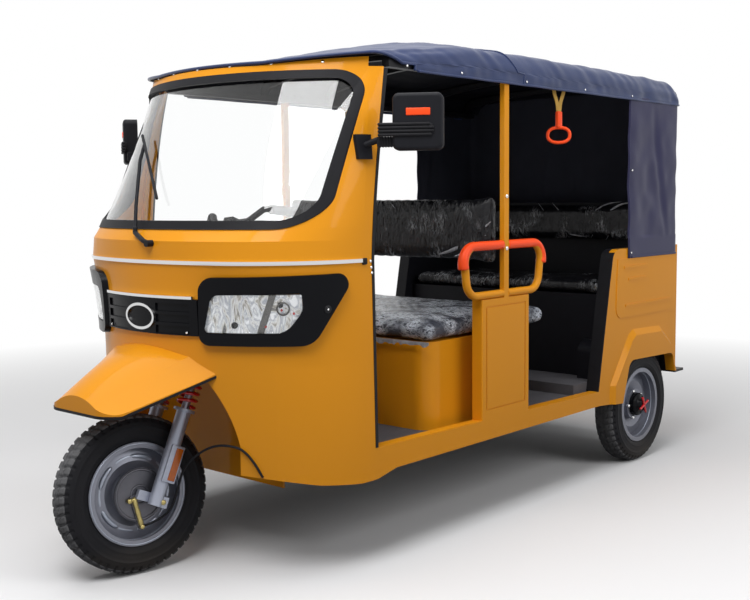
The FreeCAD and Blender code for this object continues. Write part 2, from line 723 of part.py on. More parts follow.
seatSketch = boundSketch(seatBody, "seatPlan", "XY_Plane", (
    ("-Dims.seatBoxHalf", "Dims.seatBoxFront"),
    ("Dims.seatBoxHalf", "Dims.seatBoxFront"),
    ("Dims.seatBoxHalf", "Dims.seatBoxRear"),
    ("-Dims.seatBoxHalf", "Dims.seatBoxRear")))
seatSketch.setExpression("AttachmentOffset.Base.z", "Dims.floorTop")
seatPad = seatBody.newObject("PartDesign::Pad", "seatPad")
seatPad.Profile = seatSketch
seatPad.setExpression("Length", "Dims.seatBoxTop - Dims.floorTop")
doc.recompute()
hollowSketch = boundSketch(seatBody, "seatHollow", "XY_Plane", (
    ("-Dims.seatBoxHalf + Dims.seatBoxSheet", "Dims.seatBoxFront + Dims.seatBoxSheet"),
    ("Dims.seatBoxHalf - Dims.seatBoxSheet", "Dims.seatBoxFront + Dims.seatBoxSheet"),
    ("Dims.seatBoxHalf - Dims.seatBoxSheet", "Dims.seatBoxRear - Dims.seatBoxSheet"),
    ("-Dims.seatBoxHalf + Dims.seatBoxSheet", "Dims.seatBoxRear - Dims.seatBoxSheet")))
hollowSketch.setExpression("AttachmentOffset.Base.z", "Dims.floorTop")
doc.recompute()
solidVolume = seatPad.Shape.Volume
seatHollow = seatBody.newObject("PartDesign::Pocket", "seatPocket")
seatHollow.Profile = hollowSketch
seatHollow.Reversed = True
seatHollow.setExpression("Length", "Dims.seatBoxTop - Dims.floorTop - Dims.seatBoxSheet")
doc.recompute()
if seatHollow.Shape.Volume > 0.9 * solidVolume:
    raise ValueError("the seat box's pocket cut nothing")


def seatFillet(base, name, half, radius):
    """Round the four upright edges that stand half to each side of the centre plane."""
    uprights = [f"Edge{number}" for number, edge in enumerate(base.Shape.Edges, start=1)
                if edge.BoundBox.ZLength > 10 and abs(abs(edge.CenterOfMass.x) - half) < 1]
    fillet = seatBody.newObject("PartDesign::Fillet", name)
    fillet.Base = (base, uprights)
    fillet.setExpression("Radius", radius)
    doc.recompute()
    return fillet


seatInner = seatFillet(seatHollow, "seatInner", size.seatBoxHalf - size.seatBoxSheet,
                       "Dims.seatBoxCorner - Dims.seatBoxSheet")
seatOuter = seatFillet(seatInner, "seatOuter", size.seatBoxHalf, "Dims.seatBoxCorner")
seatBody.Label = "seat_box"
shift(seatBody)

# Engine: one plain block under the seat, on two bars of the chassis

railTop = size.floorTop - size.floorSheet
engine = block(-260, 260, 1000, 1460, railTop, 640)
keep("engine_block", engine)

# Cushions and backrests: soft pieces with rounded edges


def cushion(x, y0, y1, z0, z1, radius):
    pad = block(-x, x, y0, y1, z0, z1)
    return pad.makeFillet(radius, pad.Edges)


softGap = 0.3
benchFoot = size.seatBoxTop + softGap
keep("bench_cushion", cushion(size.benchHalf, size.benchFront, size.benchRear,
                              benchFoot, benchFoot + size.benchThick, 28))
backrestHalf = loopX - size.loopTube / 2 - size.coverWall - softGap
keep("shared_backrest", cushion(backrestHalf,
                                size.centrePostStation - size.backrestThick / 2,
                                size.centrePostStation + size.backrestThick / 2,
                                size.backrestFoot, size.backrestTop, 20))
cabinHalf = size.bodyHalf - size.quarterWall - size.liningWall
bulkheadFront = size.rearBackFront + size.rearBackThick + softGap
keep("rear_cushion", cushion(cabinHalf - 4, size.rearBenchFront - 16, bulkheadFront - softGap,
                             size.rearBenchTop + softGap,
                             size.rearBenchTop + softGap + size.rearCushionThick, 18))

# Rear quarters: yellow outer panel with a wheel bulge, raised panel and ribs

quarterFront = (
    # station, height, radius of the rounded front edge
    (size.sillRear, size.sillBottom, 0),
    (size.sillRear, 385, 0),
    (2080, 850, 500),
    (2108, 984, 52),
)
archEdge = (
    (size.quarterEnd - 36, 388, 0),
    (2660, 480, 40),
    (2240, 492, 50),
    (2178, 306, 0),
)
quarterOutline = quarterFront + (
    (2150, size.quarterTop, 30),
    (size.quarterEnd, size.quarterTop, 0),
    (size.quarterEnd, 388, 0),
) + archEdge
quarter = sideProfile(quarterOutline, quarterX, size.bodyHalf)
flareBack = sideProfile(quarterOutline, size.bodyHalf - 5, size.bodyHalf + size.flareProud)
bulgeLow = ((2086, 300, 0), (2086, 396, 0), (2246, 604, 0), (2288, 628, 0),
            (2545, 620, 0), (2660, 534, 0), (2716, 380, 0), (2716, 300, 0))
bulgeHigh = ((2112, 300, 0), (2112, 392, 0), (2262, 580, 0), (2296, 600, 0),
             (2538, 594, 0), (2640, 520, 0), (2704, 380, 0), (2704, 300, 0))
lowWire = rounded([(vec(size.bodyHalf, y, z), radius) for y, z, radius in bulgeLow])
highWire = rounded([(vec(size.bodyHalf + size.flareProud, y, z), radius)
                    for y, z, radius in bulgeHigh])
flare = Part.makeLoft([lowWire, highWire], True, True).common(flareBack)
quarter = quarter.fuse(flare)
embossOutline = (
    (2142, size.canopySideFoot, 0), (2132, 800, 200), (2130, 688, 48),
    (2696, 686, 0), (2696, size.canopySideFoot, 0))
emboss = sideProfile(embossOutline, size.bodyHalf - 1, size.bodyHalf + size.embossProud)
quarter = quarter.fuse(emboss)
for front, rear, height in ((2196, 2420, 911), (2236, 2408, 857), (2212, 2650, 740)):
    rib = block(size.bodyHalf, size.bodyHalf + 2 * size.embossProud, front, rear,
                height - 6, height + 6)
    quarter = quarter.fuse(rib)
wheelRoom = rod(size.wheelRadius + 22, 140, vec(462, size.wheelbase, size.wheelRadius), xAxis)
quarter = quarter.cut(wheelRoom)
wheelDrop = block(462, 602, size.wheelbase - size.wheelRadius - 22,
                  size.wheelbase + size.wheelRadius + 22, 100, size.wheelRadius)
quarter = quarter.cut(wheelDrop).removeSplitter()
keep("rear_quarters", pair(quarter))

# Black lining inside the quarters, with the trim over their front face

panelRear = size.quarterEnd - size.panelWall
lining = sideProfile(quarterOutline, liningX, quarterX)
lining = lining.cut(wheelRoom).cut(wheelDrop).cut(sill)
lining = lining.cut(block(500, 700, panelRear, size.quarterEnd + 1, 300, 1100))
keep("quarter_lining", pair(lining))
sideEdge = sideProfile(quarterOutline, liningX, size.bodyHalf)
trim = sideEdge.copy()
trim.translate(vec(0, -size.trimSheet, 0))
trim = trim.cut(sideEdge).common(block(500, 700, 1900, 2115, size.sillTopRear, 1100)).cut(sill)

# Door-edge rubber on the front posts, rubber trim on the quarters, lip on the fender

doorRubber = noseSolid(-2).cut(noseSolid(size.postDepth - 4))
doorRubber = doorRubber.common(behindEdge).cut(behindDoor(size.doorRubber))
doorRubber = doorRubber.common(block(-700, 700, 0, 700, size.sillTopFront, hem))

# Rear bench: ribbed front, deck, inner arches over the wheels

benchPanel = block(-liningX, liningX, size.rearBenchFront,
                   size.rearBenchFront + size.rearBenchSheet, size.floorTop - size.floorSheet,
                   size.rearBenchTop)
deck = block(-liningX, liningX, size.rearBenchFront, panelRear,
             size.rearBenchTop - size.rearBenchSheet, size.rearBenchTop)
innerArchOutline = ((2056, size.floorTop, 0), (2056, 560, 40), (2110, 592, 30),
                    (panelRear, 592, 0),
                    (panelRear, size.floorTop, 0))
innerArch = sideProfile(innerArchOutline, 456, liningX).cut(wheelRoom).cut(wheelDrop)
innerArch = innerArch.cut(block(400, 700, stepFront, size.rearBenchFront,
                                size.floorTop - 1, stepTop))
rearBench = benchPanel.fuse([deck, innerArch, mirrored(innerArch)]).removeSplitter()
keep("rear_bench", rearBench)

rearPanel = block(-quarterX, quarterX, panelRear, size.quarterEnd,
                  392, size.quarterTop)
plateRecess = block(-180, 180, size.quarterEnd - 6, size.quarterEnd + 1, 470, 600)
rearPanel = rearPanel.cut(plateRecess)
for side in (-1, 1):
    rearPanel = rearPanel.cut(rod(size.plateHole, 60, vec(side * size.plateHoleSpacing / 2,
                                                         size.quarterEnd - 40, 560), yAxis))
keep("rear_panel", rearPanel)
lamp = block(430, 530, size.quarterEnd, size.quarterEnd + 20, 640, 780)
lamp = lamp.makeFillet(8, [edge for edge in lamp.Edges if edge.BoundBox.YMin > size.quarterEnd])
keep("tail_lamps", pair(lamp))
rearBackrest = cushion(cabinHalf - 4, size.rearBackFront, size.rearBackFront + size.rearBackThick,
                       size.rearBackFoot, size.rearBackTop, 20)
keep("rear_backrest", rearBackrest)
backShelf = block(-liningX, liningX, bulkheadFront, bulkheadFront + 20,
                  size.rearBenchTop, size.rearBackTop - 10)
keep("rear_bulkhead", backShelf)

# Canopy: roof shell, side curtains and back curtain

roof = canopyOuter.cut(underCanopy)
frontTrim = noseWire(1500, size.canopyHalf + 20, size.headerStation - size.canopyOverhang,
                     size.headerTangent, size.headerCorner + 20, 4000)
roofPlan = Part.Face(frontTrim).extrude(vec(0, 0, 500))
roof = roof.common(roofPlan)
curtainOuter = block(-size.canopyHalf, size.canopyHalf, size.canopySideFront, size.canopyRear,
                     size.canopySideFoot, hem)
curtainInner = block(-size.canopyHalf + size.canopySheet, size.canopyHalf - size.canopySheet,
                     size.canopySideFront - 10, size.canopyRear - size.canopySheet,
                     size.canopySideFoot - 10, hem + 10)
canopy = roof.fuse(curtainOuter.cut(curtainInner)).removeSplitter()
keep("canopy", canopy)

# Roof frame: two rails and four bows under the cloth

bowInset = size.canopySheet
railX = size.canopyHalf - size.canopySheet - 34
rail = block(railX, railX + 30, size.doorHeadStation + 16, size.canopyRear - 40,
             railFoot, railFoot + 24)
bows = []
for station, crown, shoulder, radius in canopySections:
    if station not in bowStations:
        continue
    place = station - size.bowWidth if station == rearBow else station
    outerWire = canopyWire(place, crown - 1, shoulder - 1, radius, bowInset, railFoot)
    innerWire = canopyWire(place, crown - 1, shoulder - 1, radius, bowInset + size.bowThick,
                           railFoot - 20)
    outer = Part.Face(outerWire).extrude(vec(0, size.bowWidth, 0))
    inner = Part.Face(innerWire).extrude(vec(0, size.bowWidth, 0))
    bows.append(outer.cut(inner))
roofFrame = rail.fuse([mirrored(rail)] + bows)
roofFrame = roofFrame.common(underCanopy).removeSplitter()
keep("roof_frame", roofFrame)

# Fender: a beak over the front wheel, against the nose

fenderSections = (
    # station, crown height, crease half, crease height, edge half, edge height
    (160, 782, 226, 752, 322, 690),
    (100, 765, 204, 733, 283, 666),
    (0, 735, 166, 686, 242, 630),
    (-119, 678, 128, 632, 193, 588),
    (-225, 607, 97, 583, 148, 567),
)


def fenderWire(station, crown, creaseHalf, crease, edgeHalf, edge, inset):
    """A round top between two creases, with a flat band below each, run on past its edge."""
    foot = 480
    past = 60
    low = edge - (crease - edge) * past / (edgeHalf - creaseHalf)
    points = [vec(edgeHalf + past - inset, station, foot),
              vec(edgeHalf + past - inset, station, low - inset),
              vec(creaseHalf, station, crease - inset),
              vec(0, station, crown - inset)]

    def other(point):
        return vec(-point.x, point.y, point.z)

    return Part.Wire([
        Part.LineSegment(points[0], points[1]).toShape(),
        Part.LineSegment(points[1], points[2]).toShape(),
        Part.Arc(points[2], points[3], other(points[2])).toShape(),
        Part.LineSegment(other(points[2]), other(points[1])).toShape(),
        Part.LineSegment(other(points[1]), other(points[0])).toShape(),
        Part.LineSegment(other(points[0]), points[0]).toShape()])


def fenderPlan(inset):
    tip = size.fenderTip + inset
    return planProfile((
        (158 - inset, tip + 6, 85), (303 - inset, 150, 0), (-303 + inset, 150, 0),
        (-158 + inset, tip + 6, 85)), 400, 900)


def fenderSolid(inset, lift):
    wires = [fenderWire(*row, inset) for row in fenderSections]
    shape = Part.makeLoft(wires, True, False).common(fenderPlan(inset))
    rise = size.fenderFoot + lift
    below = sideProfile(((-400, 300, 0), (-400, rise, 0), (-158, rise, 0), (122, rise + 102, 0),
                         (300, rise + 150, 0), (300, 300, 0)), -400, 400)
    return shape.cut(below)


fenderBody = fenderSolid(0, size.fenderRubber).cut(fenderSolid(size.fenderSheet, -40)).cut(nose)
keep("front_fender", fenderBody)
fenderLip = fenderSolid(-1.5, 0).cut(fenderSolid(size.fenderSheet, -40)).cut(nose)
fenderLip = fenderLip.cut(fenderSolid(-10, size.fenderRubber))
keep("edge_rubber", Part.makeCompound(doorRubber.Solids + pair(trim).Solids + fenderLip.Solids))

# Belt strip, grille strip and plain ring in chrome

beltRange = block(-700, 700, -50, 700, size.beltHeight - size.beltTrimHeight / 2,
                  size.beltHeight + size.beltTrimHeight / 2)
belt = noseSolid(-size.beltTrimProud).cut(nose).common(beltRange)
belt = belt.cut(behindPost)
grilleRange = block(-size.grilleHalf, size.grilleHalf, -50, 300, size.grilleFoot,
                    size.grilleHead)
grilleTrimRange = block(-size.grilleHalf + 16, size.grilleHalf - 16, -50, 300,
                        size.grilleHead, size.grilleHead + size.grilleTrimHeight)
grilleTrim = noseSolid(-size.grilleProud - 3).cut(nose).common(grilleTrimRange)
ringSheet = 9


def ovalPlate(halfWidth, halfHeight, thickness):
    return Part.Face(Part.Wire([Part.Ellipse(origin, halfWidth, halfHeight).toShape()])).extrude(
        vec(0, 0, thickness))


ring = ovalPlate(size.emblemHalf, size.emblemRise, 16).cut(
    ovalPlate(size.emblemHalf - ringSheet, size.emblemRise - ringSheet, 16))
ring.rotate(origin, xAxis, 90)
ring.translate(vec(0, size.noseStation - size.grilleProud + 12, size.emblemHeight))
grilleSolid = noseSolid(-size.grilleProud)
ring = ring.cut(grilleSolid)
keep("chrome_trim", Part.makeCompound(belt.Solids + grilleTrim.Solids + ring.Solids))

# Lamp surrounds and grille: black plastic on the nose

grille = grilleSolid.cut(nose).common(grilleRange)
slotTable = (
    # lower, upper height of each recess between ribs
    (800, 826), (836, 862), (872, 898))
for low, high in slotTable:
    for x0, x1 in ((-216, -76), (76, 216)):
        recess = block(x0, x1, -50, 300, low, high)
        grille = grille.cut(noseSolid(-size.grilleProud - 1).cut(noseSolid(-4)).common(recess))

# The surrounds lie across the nose's corner: their outlines are drawn square to a chord
# that starts at (231, 97) and leans 46 degrees from the front.

chordStart = vec(231, 97, 0)
chordAngle = 46.2
chordAlong = vec(math.cos(math.radians(chordAngle)), math.sin(math.radians(chordAngle)), 0)
chordOut = vec(math.sin(math.radians(chordAngle)), -math.cos(math.radians(chordAngle)), 0)


def chordPrism(corners):
    """Extrude an outline of (distance along the chord, height, radius) through the corner."""
    wire = rounded([(chordStart + chordAlong * u + zAxis * z - chordOut * 200, radius)
                    for u, z, radius in corners])
    return Part.Face(wire).extrude(chordOut * 420)


surroundOutline = ((9, 769, 34), (372, 769, 75), (515, 996, 35), (10, 985, 48))
lampOutline = ((26, 808, 14), (285, 812, 60), (340, 880, 50), (337, 937, 12), (52, 930, 30))
surround = noseSolid(-size.maskProud).cut(nose).common(chordPrism(surroundOutline))
lampHole = chordPrism(lampOutline)
surround = surround.cut(lampHole)
wholeMask = surround.fuse([mirrored(surround), grille.cut(chordPrism(surroundOutline))
                           .cut(mirrored(chordPrism(surroundOutline)))]).removeSplitter()
keep("lamp_mask", wholeMask)
lens = noseSolid(-size.maskProud + 4).cut(noseSolid(-size.maskProud + 4 + size.lensSheet))
lens = lens.common(lampHole)
keep("headlamp_lenses", pair(lens))
bowl = noseSolid(-size.maskProud + 4 + size.lensSheet).cut(nose).common(lampHole)
keep("headlamp_reflectors", pair(bowl))

# Dashboard shelf behind the nose

dash = noseInner.common(block(-700, 700, 0, 320, 1040, 1104))
dash = dash.cut(noseSolid(size.panelWall + 60).common(block(-700, 700, 0, 300, 1000, 1080)))
keep("dashboard", dash)

# Hand straps: webbing from the rail to an oval ring


def strap(station):
    """An oval ring hung by two webs that spread towards the rail, joined by a sleeve."""
    ringX = railX + 6
    ringZ = railFoot - 180
    hoop = ovalPlate(51, 36, 14).cut(ovalPlate(38, 24, 14))
    hoop.translate(vec(0, 0, -7))
    hoop.rotate(origin, xAxis, 90)
    hoop.rotate(origin, zAxis, 40)
    hoop.translate(vec(ringX, station, ringZ))
    knot = ringZ + 74
    sleeve = block(ringX - 6, ringX + 6, station - 15, station + 15, ringZ + 30, knot)
    webs = []
    for side in (-1, 1):
        spread = station + side * 48
        web = Part.Face(Part.makePolygon([
            vec(ringX - 2, station - 13, knot - 8), vec(ringX - 2, station + 13, knot - 8),
            vec(ringX - 2, spread + 13, railFoot), vec(ringX - 2, spread - 13, railFoot),
            vec(ringX - 2, station - 13, knot - 8)]))
        webs.append(web.extrude(vec(4, 0, 0)))
    return hoop.fuse([sleeve] + webs).removeSplitter()


keep("hand_straps", pair(strap(1697)))

# Mirrors on the front posts

mirrorPad = noseSolid(-12).cut(nose).common(block(574, 640, 474, 524, 1353, 1432))
armPoints = [vec(size.bodyHalf - 6, 503, 1398), vec(size.bodyHalf + 38, 522, 1414),
             vec(size.bodyHalf + 92, 536, 1404)]
mirrorParts = [mirrorPad]
for start, finish in zip(armPoints, armPoints[1:]):
    mirrorParts.append(rod(10, start.distanceToPoint(finish), start, finish.sub(start)))
    mirrorParts.append(Part.makeSphere(10, finish))
head = block(-80, 80, -28, 28, -89, 89)
head = head.makeFillet(20, [edge for edge in head.Edges if edge.BoundBox.YLength > 50])
head = head.makeFillet(12, [edge for edge in head.Edges if edge.BoundBox.YMax < -27])
sleeve = block(-130, -60, -14, 14, -76, -46)
for piece in (head, sleeve):
    piece.rotate(origin, zAxis, 34)
    piece.translate(vec(size.bodyHalf + 157, 574, 1466))
    mirrorParts.append(piece)
mirror = mirrorParts[0].fuse(mirrorParts[1:]).cut(nose).removeSplitter()
keep("mirrors", pair(mirror))

# Wiper on the nose

pivot = vec(57, size.noseStation - 12, 1090)
wiperParts = [rod(11, 26, pivot - yAxis * 10, yAxis), Part.makeSphere(8, vec(31, 47, 1099))]
wiperLines = (
    # thickness and the points it runs through
    (8, ((57, 48, 1090), (31, 47, 1099), (-37, 66, 1123), (-39, 68, 1137))),
    (6, ((-39, 68, 1137), (-81, 105, 1216), (-156, 181, 1366), (-166, 208, 1418))),
    (5, ((-212, 235, 1456), (-118, 183, 1382), (24, 112, 1236))))
for thickness, points in wiperLines:
    points = [vec(*point) for point in points]
    for start, finish in zip(points, points[1:]):
        wiperParts.append(rod(thickness, start.distanceToPoint(finish), start, finish.sub(start)))
        wiperParts.append(Part.makeSphere(thickness, finish))
keep("wiper", wiperParts[0].fuse(wiperParts[1:]).cut(nose).removeSplitter())

# Leaf springs: shallow arcs under the frame's hangers

leafEnd = 336
leafFront = 2095
leafRear = 2705
leafArc = Part.Wire([
    Part.Arc(vec(392, leafFront, leafEnd - 7), vec(392, size.wheelbase, 296), vec(392, leafRear, leafEnd - 7)).toShape(),
    Part.LineSegment(vec(392, leafRear, leafEnd - 7), vec(392, leafRear, leafEnd)).toShape(),
    Part.Arc(vec(392, leafRear, leafEnd), vec(392, size.wheelbase, 318), vec(392, leafFront, leafEnd)).toShape(),
    Part.LineSegment(vec(392, leafFront, leafEnd), vec(392, leafFront, leafEnd - 7)).toShape()])
leaf = Part.Face(leafArc).extrude(vec(40, 0, 0))

# Chassis: two rails, cross members, head tube on a column, rear bumper

railHalfSize = size.railSize / 2
chassisParts = []
for side in (-1, 1):
    middle = side * size.railHalf
    chassisParts.append(block(middle - railHalfSize, middle + railHalfSize,
                              size.wellBack + 10, size.quarterEnd - 4,
                              railTop - size.railSize, railTop))
crossMembers = (
    # station, half length
    (400, floorHalf), (900, floorHalf), (1040, size.railHalf), (1380, size.railHalf),
    (1520, floorHalf), (2010, liningX))
for station, half in crossMembers:
    chassisParts.append(block(-half, half, station, station + 40, railTop - 40, railTop)
                        .cut(outsideNose))
chassisParts.append(column)


def steerLine(distance, lead=0):
    """A point on the steering axis, distance up from the axle's height, moved ahead by lead."""
    ahead = vec(0, -math.cos(math.radians(size.rake)), math.sin(math.radians(size.rake)))
    return steerPoint + steerUp * distance + ahead * lead


headLow = 590
headTall = 130
headTube = rod(size.stemRadius + 12, headTall, steerLine(headLow), steerUp)
headArm = block(-24, 24, steerLine(headLow).y, columnFront + 10, 830, 880)
boreCut = rod(size.stemRadius + size.stemGap, 400, steerLine(headLow - 100), steerUp)
chassisParts.append(headTube)
chassisParts.append(headArm)
chassisParts.append(block(-size.bodyHalf, size.bodyHalf, size.quarterEnd,
                          size.quarterEnd + size.bumperReach, 374, 386))
chassisParts.append(block(-size.railHalf - 20, size.railHalf + 20, size.quarterEnd - 60,
                          size.quarterEnd + 20, railTop - 20, 374))
for station in (leafFront - 15, leafRear - 15):
    hanger = block(372, 452, station, station + 30, leafEnd - 12, railTop).cut(leaf)
    chassisParts.append(hanger)
    chassisParts.append(mirrored(hanger))
towCut = rod(size.towHole, 60, vec(0, size.quarterEnd + size.bumperReach - 20, 350), zAxis)
chassis = chassisParts[0].fuse(chassisParts[1:]).cut(boreCut).cut(towCut).removeSplitter()
keep("chassis_frame", chassis)

# Rear axle, brake plates and leaf springs

axleCentre = vec(0, size.wheelbase, size.wheelRadius)
plateX = 438
axleParts = [
    rod(34, 2 * plateX, axleCentre - vec(plateX, 0, 0), xAxis),
    rod(95, 150, axleCentre - vec(75, 0, 0), xAxis),
    rod(size.stubRadius, 2 * (size.rearTrackHalf + 20),
        axleCentre - vec(size.rearTrackHalf + 20, 0, 0), xAxis)]
for side in (-1, 1):
    axleParts.append(rod(112, 10, axleCentre + vec(side * plateX, 0, 0), vec(side, 0, 0)))
axleParts.append(leaf)
axleParts.append(mirrored(leaf))
keep("rear_axle", axleParts[0].fuse(axleParts[1:]).removeSplitter())

legFoot = -46
barHeight = 950
forkParts = []
for side in (-1, 1):
    foot = vec(side * size.legHalf, -size.legLead, legFoot)
    top = vec(side * size.legHalf, -size.legLead, size.sliderTop)
    forkParts.append(rod(size.legRadius, size.sliderTop - legFoot, foot, zAxis))
    forkParts.append(rod(size.springRadius, 8, top - zAxis * 8, zAxis))
    forkParts.append(rod(size.stanchionRadius, size.yokeFoot - size.sliderTop, top, zAxis))
    inner = side * (size.legHalf - size.legRadius - 8)
    outer = side * (size.legHalf - size.legRadius + 8)
    forkParts.append(block(min(inner, outer), max(inner, outer), -axleLead - 16, -size.legLead,
                           axleDrop - 16, axleDrop + 16))
    forkParts.append(block(side * size.legHalf - 19, side * size.legHalf + 19,
                           -size.legLead, -size.legLead + 34, axleDrop - 22, axleDrop + 14))
pinHalf = size.legHalf - size.legRadius + 6
forkParts.append(rod(size.pinRadius, 2 * pinHalf, vec(-pinHalf, -axleLead, axleDrop), xAxis))
forkParts.append(block(-size.legHalf - 26, size.legHalf + 26, -size.legLead - 28, 22,
                       size.yokeFoot, size.yokeFoot + 26))
forkParts.append(rod(size.stemRadius, barHeight - size.yokeFoot, vec(0, 0, size.yokeFoot), zAxis))
fork = forkParts[0].fuse(forkParts[1:]).removeSplitter()
keep("fork", fork, steeredRow)

springTurns = []
for side in (-1, 1):
    top = vec(side * size.legHalf, -size.legLead, size.sliderTop)
    spring = rod(size.springRadius, size.yokeFoot - size.sliderTop, top, zAxis)
    springTurns.append(spring.cut(rod(size.springRadius - 9, 400, top - zAxis * 50, zAxis)))
keep("fork_springs", Part.makeCompound(springTurns), steeredRow)

brakePlate = rod(88, 8, vec(50, -axleLead, axleDrop), xAxis)
brakePlate = brakePlate.cut(rod(size.pinRadius, 60, vec(30, -axleLead, axleDrop), xAxis))
armTop = vec(58, -axleLead - 20, axleDrop - 16)
armTip = vec(58, -axleLead + 39, axleDrop - 97)
armRun = armTip.sub(armTop)
brakeArm = block(0, 6, -11, 11, -8, armRun.Length + 8)
brakeArm.rotate(origin, xAxis, 180 + math.degrees(math.atan2(armRun.y, -armRun.z)))
brakeArm.translate(armTop)
keep("brake_plate", brakePlate.fuse(brakeArm).removeSplitter(), steeredRow)

barPoints = [(vec(-300, 70, barHeight + 60), 0), (vec(-180, 10, barHeight + 60), 40),
             (vec(-110, 0, barHeight + 14), 40), (vec(110, 0, barHeight + 14), 40),
             (vec(180, 10, barHeight + 60), 40), (vec(300, 70, barHeight + 60), 0)]


def openPath(corners):
    """A path of straight runs with tangent arcs at the inner corners."""
    edges = []
    start = corners[0][0]
    for number in range(1, len(corners) - 1):
        point, radius = corners[number]
        before = (corners[number - 1][0] - point).normalize()
        after = (corners[number + 1][0] - point).normalize()
        half = before.getAngle(after) / 2
        reach = radius / math.tan(half)
        crown = point + (before + after).normalize() * (radius / math.sin(half) - radius)
        edges.append(Part.LineSegment(start, point + before * reach).toShape())
        edges.append(Part.Arc(point + before * reach, crown, point + after * reach).toShape())
        start = point + after * reach
    edges.append(Part.LineSegment(start, corners[-1][0]).toShape())
    return Part.Wire(edges)


bar = tubeAlong(openPath(barPoints), 11)
clamp = block(-30, 30, -20, 20, barHeight, barHeight + 30)
bar = bar.fuse(clamp)
for side in (-1, 1):
    end = vec(side * 300, 70, barHeight + 60)
    inner = vec(side * 180, 10, barHeight + 60)
    bar = bar.fuse(rod(17, 110, end, inner.sub(end)))
keep("handlebar", bar.removeSplitter(), steeredRow)

# Brake cable: from the brake arm's tip, up behind the left leg, then over to the cowl's foot

nearFork = (
    # beside the wheel: along the axle, behind and above the wheel's centre
    (68, 47, -92), (80, 86, -62), (98, 106, -20), (107, 104, 25), (112, 98, 70), (116, 96, 112))
acrossGap = (
    # x, station, height: an arch ending on the skin just above the cowl's lower edge
    (153, 118, 373), (198, 124, 406), (256, 126, 434), (311, 128, 447), (361, 147, 443),
    (378, 157, 431), (394, 168, 412), (415, 182, 377), (424, 193, 347))
wheelFrame = steered.multiply(toAxle)
cablePoints = [wheelFrame.multVec(vec(*point)) for point in nearFork]
cablePoints += [vec(*point) for point in acrossGap]
cableCorners = []
for number, point in enumerate(cablePoints):
    here = point
    radius = 0
    if 0 < number < len(cablePoints) - 1:
        before = cablePoints[number - 1] - here
        after = cablePoints[number + 1] - here
        bend = math.pi - before.getAngle(after)
        radius = 0.45 * min(before.Length, after.Length) / math.tan(bend / 2)
    cableCorners.append((here, radius))
cable = tubeAlong(openPath(cableCorners), size.cableRadius).cut(cowl)
keep("brake_cable", max(cable.Solids, key=lambda piece: piece.Volume))

# Rear wheels

for side, name in ((1, "left"), (-1, "right")):
    tyre = lathe(f"rear_tyre_{name}", tyreSection)
    rim = lathe(f"rear_rim_{name}", rimSection("Dims.stubRadius + Dims.stemGap", 20, 60, 70, -12))
    turn = FreeCAD.Rotation(zAxis, 0 if side == 1 else 180)
    place = toRow.multiply(FreeCAD.Placement(
        vec(side * size.rearTrackHalf, size.wheelbase, size.wheelRadius), turn))
    tyre.Placement = place
    rim.Placement = place

doc.removeObject("Probe")
doc.recompute()


def check(piece):
    if "Invalid" in piece.State or "Error" in piece.State:
        raise ValueError(f"{piece.Label} failed")
    if piece.Shape.isNull() or not piece.Shape.isValid():
        raise ValueError(f"{piece.Label} has no valid shape")
    if not piece.Shape.Solids:
        raise ValueError(f"{piece.Label} has no solid")


for thing in doc.Objects:
    if "Invalid" in thing.State or "Error" in thing.State:
        raise ValueError(f"{thing.Label} failed")
whole = Part.makeCompound([piece.Shape for piece in pieces])
box = whole.BoundBox
print("box", [round(value, 1) for value in (box.XMin, box.XMax, box.YMin, box.YMax, box.ZMin, box.ZMax)])
print("steer point", steerPoint, "wheel centre", wheelRow.Base)
os.makedirs("parts", exist_ok=True)
for piece in pieces:
    check(piece)
    print(piece.Label, len(piece.Shape.Solids), round(piece.Shape.Volume / 1e6, 3))
    piece.Shape.exportStep(f"parts/{piece.Label}.step")
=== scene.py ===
import json
import math
import bmesh
import bpy
import numpy as np
from mathutils import Matrix, Vector


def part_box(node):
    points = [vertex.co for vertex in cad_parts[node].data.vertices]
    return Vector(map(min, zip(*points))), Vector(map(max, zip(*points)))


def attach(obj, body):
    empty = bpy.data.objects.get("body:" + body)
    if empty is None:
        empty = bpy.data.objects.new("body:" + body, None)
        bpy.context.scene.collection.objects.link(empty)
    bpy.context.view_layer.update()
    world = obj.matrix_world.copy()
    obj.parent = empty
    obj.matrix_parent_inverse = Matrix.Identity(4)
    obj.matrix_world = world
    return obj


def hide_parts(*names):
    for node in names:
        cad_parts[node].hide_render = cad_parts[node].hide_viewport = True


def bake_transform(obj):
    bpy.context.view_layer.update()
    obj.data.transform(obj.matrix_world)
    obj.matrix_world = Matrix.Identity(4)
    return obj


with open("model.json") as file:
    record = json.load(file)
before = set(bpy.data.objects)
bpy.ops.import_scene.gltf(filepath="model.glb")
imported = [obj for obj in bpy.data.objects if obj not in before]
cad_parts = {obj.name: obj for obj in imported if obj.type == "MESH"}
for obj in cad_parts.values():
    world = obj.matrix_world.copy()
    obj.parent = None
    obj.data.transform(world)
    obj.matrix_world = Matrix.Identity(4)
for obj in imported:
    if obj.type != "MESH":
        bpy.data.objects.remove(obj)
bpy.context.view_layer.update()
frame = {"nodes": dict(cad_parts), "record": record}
nodes = frame["nodes"]
joints = {joint["name"]: joint for joint in frame["record"]["behaviour"]["joints"]}
print("frame loaded:", len(nodes), "nodes")

# metres; x to the vehicle's left, y backwards, z up
# stations count backwards from the front axle, which lies one wheelbase ahead of the rear wheels
wheelbase = 2.405


def boxOf(node):
    low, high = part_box(node)
    return np.array(low), np.array(high)


def middleOf(node):
    return sum(boxOf(node)) / 2


frontStation = middleOf("rear_tyre_left")[1] - wheelbase


# a point, or a whole grid of points where x, station or height is an array
def at(x, station, height):
    return np.stack(np.broadcast_arrays(x, station + frontStation, height), -1).astype(float)


